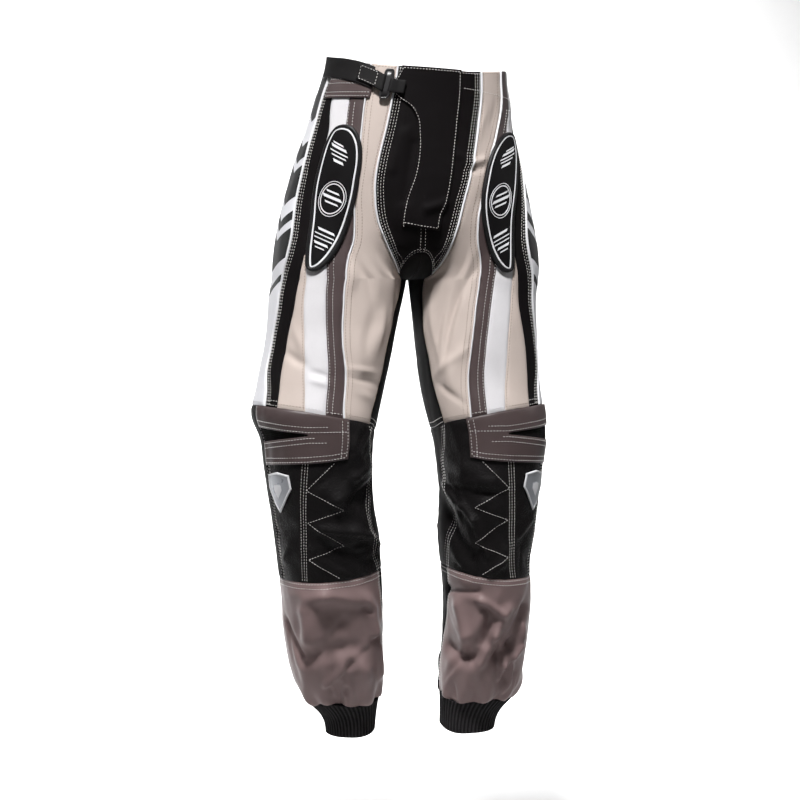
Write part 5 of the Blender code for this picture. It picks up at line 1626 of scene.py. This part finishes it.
# %% Badges
BADGE_MIDDLE = (39.3, -610.0)
BADGE_CORNERS = (
    (34.5, -586), (39, -582), (43.5, -586), (44, -606), (41.5, -630), (39.5, -642), (37.5, -630), (34, -606),
)
# Millimetres in from the outline, millimetres out from the cloth, and the finish: pale or grey.
BADGE_RINGS = ((0.0, 0.8, 0), (0.0, 2.3, 0), (0.6, 2.9, 0), (2.2, 2.9, 0), (2.7, 2.3, 1), (3.2, 2.2, 1))
# The middle: a share of the last ring's size, millimetres out and the finish.
BADGE_FIELD = ((0.7, 2.3, 1), (0.45, 2.3, 1), (0.4, 3.0, 0), (0.2, 3.4, 0))
BADGE_PEAK, EDGE_POINTS = 3.6, 8


def on_knee(side, plan, out):
    """Posed points of a plan in millimetres about the badge's middle."""
    return firm(side, BADGE_MIDDLE[0] + plan[..., 0] / PERCENT_MM, BADGE_MIDDLE[1] + plan[..., 1], out)


for label, side in SIDES.items():
    corners = (np.array(BADGE_CORNERS) - BADGE_MIDDLE) * (PERCENT_MM, 1)
    ahead = np.roll(corners, -1, axis=0) - corners
    plan = (corners[:, None] + ahead[:, None] * (np.arange(EDGE_POINTS) / EDGE_POINTS)[:, None]).reshape(-1, 2)
    rings = [on_knee(side, drawn_in(plan, inward), out) for inward, out, _ in BADGE_RINGS]
    last = drawn_in(plan, BADGE_RINGS[-1][0])
    rings += [on_knee(side, last * scale, out) for scale, out, _ in BADGE_FIELD]
    slots = [finish for _, _, finish in BADGE_RINGS + BADGE_FIELD]
    caps = [on_knee(side, np.zeros((1, 2)), out) for out in (BADGE_PEAK, BADGE_RINGS[0][1])]
    vertices, faces, slots = stacked(rings, slots, caps, [0, 0], side)
    link(f"badge_{label}", vertices, faces, (PAD_WHITE, BADGE_GREY), slots, smooth=[False] * len(faces))
print("badge points:", len(plan))

# %% [markdown]
# ## Stitches
# Heavy pale thread is what makes these trousers look like racing gear, so each stitch is a small round bead
# of thread.
# A row of sewing is a line on the cloth, and the stitches are laid along it at an even pitch, dipping into
# the cloth at both ends.
# Joining all the stitches of one thread into a few meshes keeps the scene light.

# %% A row of sewing
STITCH_PITCH, STITCH_LENGTH, THREAD_RADIUS = 4.5, 2.9, 0.46
# Where along a stitch its four rings lie, how far out each one is and how thick.
STITCH_SHAPE = ((0, 0.22, 0.78, 1.0), (-0.25, 0.3, 0.3, -0.25), (0.45, 1.0, 1.0, 0.45))
SEWN = {}


def stitch_row(thread, points, normals):
    """Lays stitches along a line of points; they are joined into meshes later."""
    ends = np.append(0, np.cumsum(np.linalg.norm(np.diff(points, axis=0), axis=1)))
    count = int(ends[-1] / STITCH_PITCH)
    if count < 2:
        return
    starts = (np.arange(count) + 0.15) * ends[-1] / count
    spots = starts[:, None] + STITCH_LENGTH * np.array(STITCH_SHAPE[0])
    at = np.stack([np.interp(spots, ends, points[:, k]) for k in range(3)], axis=-1)
    up = np.stack([np.interp(spots, ends, normals[:, k]) for k in range(3)], axis=-1)
    up /= np.linalg.norm(up, axis=-1, keepdims=True)
    at = at + up * np.array(STITCH_SHAPE[1])[None, :, None]
    SEWN.setdefault(thread, []).append((at, up))


def on_cut(title, side, share, nominal):
    """Points and normals on a panel, on its seam relief."""
    cut = CUTS[title]
    height = level(cut["tier"], side, share, nominal, cut["shape"])
    return skin(side, share, height, seam_relief(cut, side, share, nominal, height), cut["tier"])


def beside_seam(title, side, edge, distance, first=None, last=None):
    """A line that keeps an even distance from one of the panel's upright edges."""
    cut = CUTS[title]
    first, last = (cut["first"] if first is None else first), (cut["last"] if last is None else last)
    nominal = np.linspace(first - 2, last + 2, int((first - last) / 1.5))
    past = distance if edge == "start" else -distance
    share = seam(side, cut[edge], nominal)
    share = share + past / per_percent(side, share, level(cut["tier"], side, share, nominal, cut["shape"]))
    return on_cut(title, side, share, nominal)


def beside_edge(title, side, edge, distance, begin=0.0, end=1.0):
    """A line along the panel's top or bottom edge."""
    cut = CUTS[title]
    nominal = cut["first"] - distance if edge == "top" else cut["last"] + distance
    start, stop = (float(seam(side, cut[key], np.array(nominal))) for key in ("start", "stop"))
    share = start + (stop - start) * np.linspace(begin, end, int((stop - start) * 3.2) + 6)
    return on_cut(title, side, share, np.full(len(share), nominal))


print("one stitch in mm:", STITCH_LENGTH, "long,", 2 * THREAD_RADIUS, "thick")

# %% The rows of sewing on the panels
UPRIGHT_SEWING = (
    ("panel", "edge", "distances", "thread", "first", "last"),
    ("front_yoke", "stop", (2.4, 6.4, 10.4), "pale", None, None),
    ("front_yoke", "start", (3.4,), "pale", -226, None),
    ("front_cream", "start", (2.6,), "cream", None, None),
    ("front_cream", "stop", (3.0, 9.5), "cream", None, None),
    ("taupe_stripe", "stop", (2.0, 10.0), "pale", -46, None),
    ("white_stripe", "start", (2.4,), "white", -46, None),
    ("cream_side_stripe", "start", (2.4,), "cream", None, None),
    ("black_side", "stop", (2.6, 6.8, 11.0), "pale", None, None),
    ("side_panel", "stop", (3.0,), "white", None, None),
    ("seat_back", "start", (3.0, 9.0), "grey", None, None),
    ("seat_back", "stop", (3.0, 9.0), "grey", None, None),
    ("knee_panel", "start", (2.4, 8.4), "pale", None, None),
    ("knee_panel", "stop", (2.2, 6.2), "pale", -566, None),
    ("knee_side", "start", (2.2,), "pale", -566, None),
    ("knee_side", "stop", (2.6, 7.0), "pale", -576, None),
    ("knee_back", "start", (3.0,), "grey", None, None),
    ("knee_back", "stop", (3.0,), "grey", None, None),
    ("calf_front", "start", (2.2, 7.0), "pale", None, -926),
    ("calf_front", "stop", (2.2, 7.0), "pale", None, -926),
)
CROSS_SEWING = (
    ("panel", "edge", "distances", "thread"),
    ("front_yoke", "bottom", (2.4, 8.0), "pale"),
    ("front_yoke", "top", (3.0,), "pale"),
    ("front_cream", "top", (3.0,), "cream"),
    ("front_cream", "bottom", (6.0,), "cream"),
    ("taupe_stripe", "bottom", (5.0,), "pale"),
    ("white_stripe", "bottom", (6.0,), "white"),
    ("cream_side_stripe", "bottom", (6.0,), "cream"),
    ("black_side", "bottom", (3.0, 10.0), "pale"),
    ("side_panel", "bottom", (6.0,), "white"),
    ("inner_thigh", "bottom", (2.6, 9.0), "pale"),
    ("seat_back", "bottom", (2.6, 9.0), "grey"),
    ("calf_front", "top", (2.2, 8.6), "pale"),
    ("calf_back", "top", (2.6, 9.0), "grey"),
    ("seat_back", "top", (3.0,), "grey"),
)
for label, side in SIDES.items():
    for row in named_rows(UPRIGHT_SEWING):
        for distance in row["distances"]:
            line = beside_seam(row["panel"], side, row["edge"], distance, row["first"], row["last"])
            stitch_row((row["thread"], label), *line)
    for row in named_rows(CROSS_SEWING):
        for distance in row["distances"]:
            stitch_row((row["thread"], label), *beside_edge(row["panel"], side, row["edge"], distance))
print("rows of sewing:", sum(len(rows) for rows in SEWN.values()))

# %% Zigzag quilting on the knees
ZIGZAG = ((21, -568), (29.3, -608), (19, -637), (30, -656), (20, -691), (31, -711), (22, -739))


def broken_line(side, corners, out=0.0):
    """Points and normals along straight runs between corners given as share and height."""
    corners = np.array(corners, float)
    run = np.append(0, np.cumsum(np.linalg.norm(np.diff(corners * (PERCENT_MM, 1), axis=0), axis=1)))
    at = np.arange(0, run[-1], 1.2)
    share, height = (np.interp(at, run, corners[:, k]) for k in (0, 1))
    return skin(side, share, height, out, "knee")


for label, side in SIDES.items():
    stitch_row(("pale", label), *broken_line(side, ZIGZAG))
print("corners of each zigzag:", len(ZIGZAG))

# %% Sewing on the band, the flap, the patch and the belt
def band_line(side, which, offset, begin, end):
    """A line on the knee band beside one of its four long edges."""
    share = np.linspace(begin, end, int((end - begin) * 4))
    height = band_edges(share)[which] + offset
    return skin(side, share, height, BAND_LIFT + CLOTH, "knee")


BAND_SEWING = (
    (1, 2.8, 18.4, 43.4), (1, 10.0, 23.0, 43.4), (2, -3.0, 26.5, 43.4), (2, -10.0, 23.5, 43.4),
    (3, 3.0, 18.4, 43.4), (3, 9.5, 18.4, 43.4),
)
for label, side in SIDES.items():
    for which, offset, begin, end in BAND_SEWING:
        stitch_row(("pale", label), *band_line(side, which, offset, begin, end))
    for share in (18.2, 19.6):
        head, _, _, foot = (float(edge) for edge in band_edges(np.array(share)))
        upright = ((share, head - 3), (share, foot + 3))
        stitch_row(("pale", label), *broken_line(side, upright, BAND_LIFT + CLOTH))


def flap_line(share, height):
    """A row of stitches on the fly flap."""
    stitch_row(("pale", "left"), *across_front(share, height, np.full(len(share), FLAP_LIFT + CLOTH)))


rows = np.linspace(5, -219, 160)
for edge, inward in (("right_edge", 0.55), ("left_edge", -0.55)):
    flap_line(FLAP.at(edge, rows) + inward, rows)
foot_share = np.linspace(-4.2, 3.9, 40)
flap_line(foot_share, -213.4 - FLAP_DROP * (foot_share + 4.8) / 9.2)
flap_line(np.linspace(-12.8, 6.5, 60), np.full(60, 4.6))
for row_height in (-14.6, -20.5, -33.0, -38.4):
    share = np.linspace(23, 44, 90)
    stitch_row(("pale", "right"), *skin(RIGHT, share, np.full(90, row_height), PATCH_LIFT + CLOTH))
casing = np.linspace(8, 40, 130)
stitch_row(("pale", "left"), *skin(LEFT, casing, np.interp(casing, (8, 40), (-18, -29)), -0.1))
box = ((28.8, -9.5), (21.6, -9.5), (21.6, 9.5), (28.8, 9.5), (28.8, -9.5))
for (first_share, first_up), (last_share, last_up) in zip(box, box[1:]):
    share = np.linspace(first_share, last_share, 24)
    height = BELT_LINE.at("height", share) + np.linspace(first_up, last_up, 24)
    outs = np.interp(share, (20.0, 21.6, 25.0), (9.4, 8.9, 7.3)) + STRAP_THICKNESS / 2
    stitch_row(("pale", "right"), firm(RIGHT, share, height, outs), outward(RIGHT, share, height))
print("threads:", {key: sum(len(at) for at, _ in rows) for key, rows in SEWN.items()})

# %% Join the stitches into meshes
THREAD_SIDES = 5
for (thread, label), rows in SEWN.items():
    at = np.concatenate([row[0] for row in rows])
    up = np.concatenate([row[1] for row in rows])
    along = at[:, -1] - at[:, 0]
    along /= np.linalg.norm(along, axis=-1, keepdims=True)
    beside = np.cross(along[:, None, :], up)
    beside /= np.linalg.norm(beside, axis=-1, keepdims=True)
    radius = THREAD_RADIUS * np.array(STITCH_SHAPE[2])[None, :, None, None]
    angles = 2 * math.pi * np.arange(THREAD_SIDES) / THREAD_SIDES
    ring = np.cos(angles)[:, None] * beside[:, :, None, :] + np.sin(angles)[:, None] * up[:, :, None, :]
    vertices = (at[:, :, None, :] + radius * ring).reshape(-1, 3)
    pattern = [face[:1] + face[:0:-1] for face in ring_faces(4, THREAD_SIDES)]
    caps = [tuple(range(THREAD_SIDES)), tuple(range(4 * THREAD_SIDES - 1, 3 * THREAD_SIDES - 1, -1))]
    offsets = np.arange(len(at)) * 4 * THREAD_SIDES
    faces = [tuple(index + offset for index in face) for offset in offsets.tolist() for face in pattern + caps]
    link(f"thread_{thread}_{label}", vertices, faces, (THREADS[thread],))
print("stitches:", sum(len(row[0]) for rows in SEWN.values() for row in rows))

# %% [markdown]
# ## Attach each piece to the frame
# Every piece rides on the one body and stands for its CAD node, which is hidden.
# For every cloth piece in the table below, its flat width and length, measured along its own threads, are
# worked out.

# %% What holds each cloth
# What each cloth piece hangs from, or lies on.
HELD = {
    "front_yoke": ("hung", ()),
    "front_cream": ("hung", ("front_yoke",)),
    "taupe_stripe": ("hung", ("front_cream",)),
    "white_stripe": ("hung", ("taupe_stripe",)),
    "cream_side_stripe": ("hung", ("white_stripe",)),
    "black_side": ("hung", ("white_stripe",)),
    "side_panel": ("hung", ("black_side",)),
    "seat_back": ("hung", ("back_waistband", "side_panel")),
    "inner_thigh": ("hung", ("front_yoke", "seat_back")),
    "knee_panel": ("hung", ("inner_thigh", "front_cream", "taupe_stripe")),
    "knee_side": ("hung", ("knee_stretch",)),
    "knee_back": ("hung", ("seat_back", "side_panel")),
    "calf_front": ("hung", ("knee_panel", "knee_side", "knee_back")),
    "calf_back": ("hung", ("knee_back",)),
    "knee_stretch": ("stretched", ("black_side",)),
    "knee_band": ("laid", ("knee_panel", "knee_stretch")),
    "cuff": ("stretched", ("calf_front", "calf_back")),
    "rise_piping": ("stretched", ("front_yoke", "front_cream")),
    "thin_piping": ("stretched", ("front_cream", "taupe_stripe")),
    "side_piping": ("stretched", ("black_side", "side_panel")),
    "back_waistband": ("gathered", ()),
    "fly_flap": ("laid", ("front_yoke",)),
    "waist_patch": ("laid", ("front_cream",)),
    "belt_strap": ("stretched", ("waist_patch",)),
    "belt_tab": ("folded", ("buckle_ring",)),
    "belt_anchor": ("folded", ("buckle_ring",)),
}
PIPING_STRIP, PIPING_SHOWN, LEAST_SIZE = 0.01, 0.0062, 0.01


# %% Ride, replace and work out flat sizes
def kind_and_side(name):
    """The kind of a piece and its side: right, left or nothing."""
    for label in SIDES:
        if name.endswith("_" + label):
            return name[: -len(label) - 1], label
    return name, ""


for name, made in MADE.items():
    kind, label = kind_and_side(name)
    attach(made, "root")
    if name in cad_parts:
        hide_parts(name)
    if kind not in HELD:
        continue
    width, length, area = FLAT[name]
    if "piping" in kind:
        flat = (PIPING_STRIP, round(length, 3))
    else:
        width, length = max(width, LEAST_SIZE), max(length, LEAST_SIZE)
        share = min(max(area / (width * length), 0.3), 1.0)
print("pieces:", len(MADE), "faces:", sum(len(made.data.polygons) for made in MADE.values()))
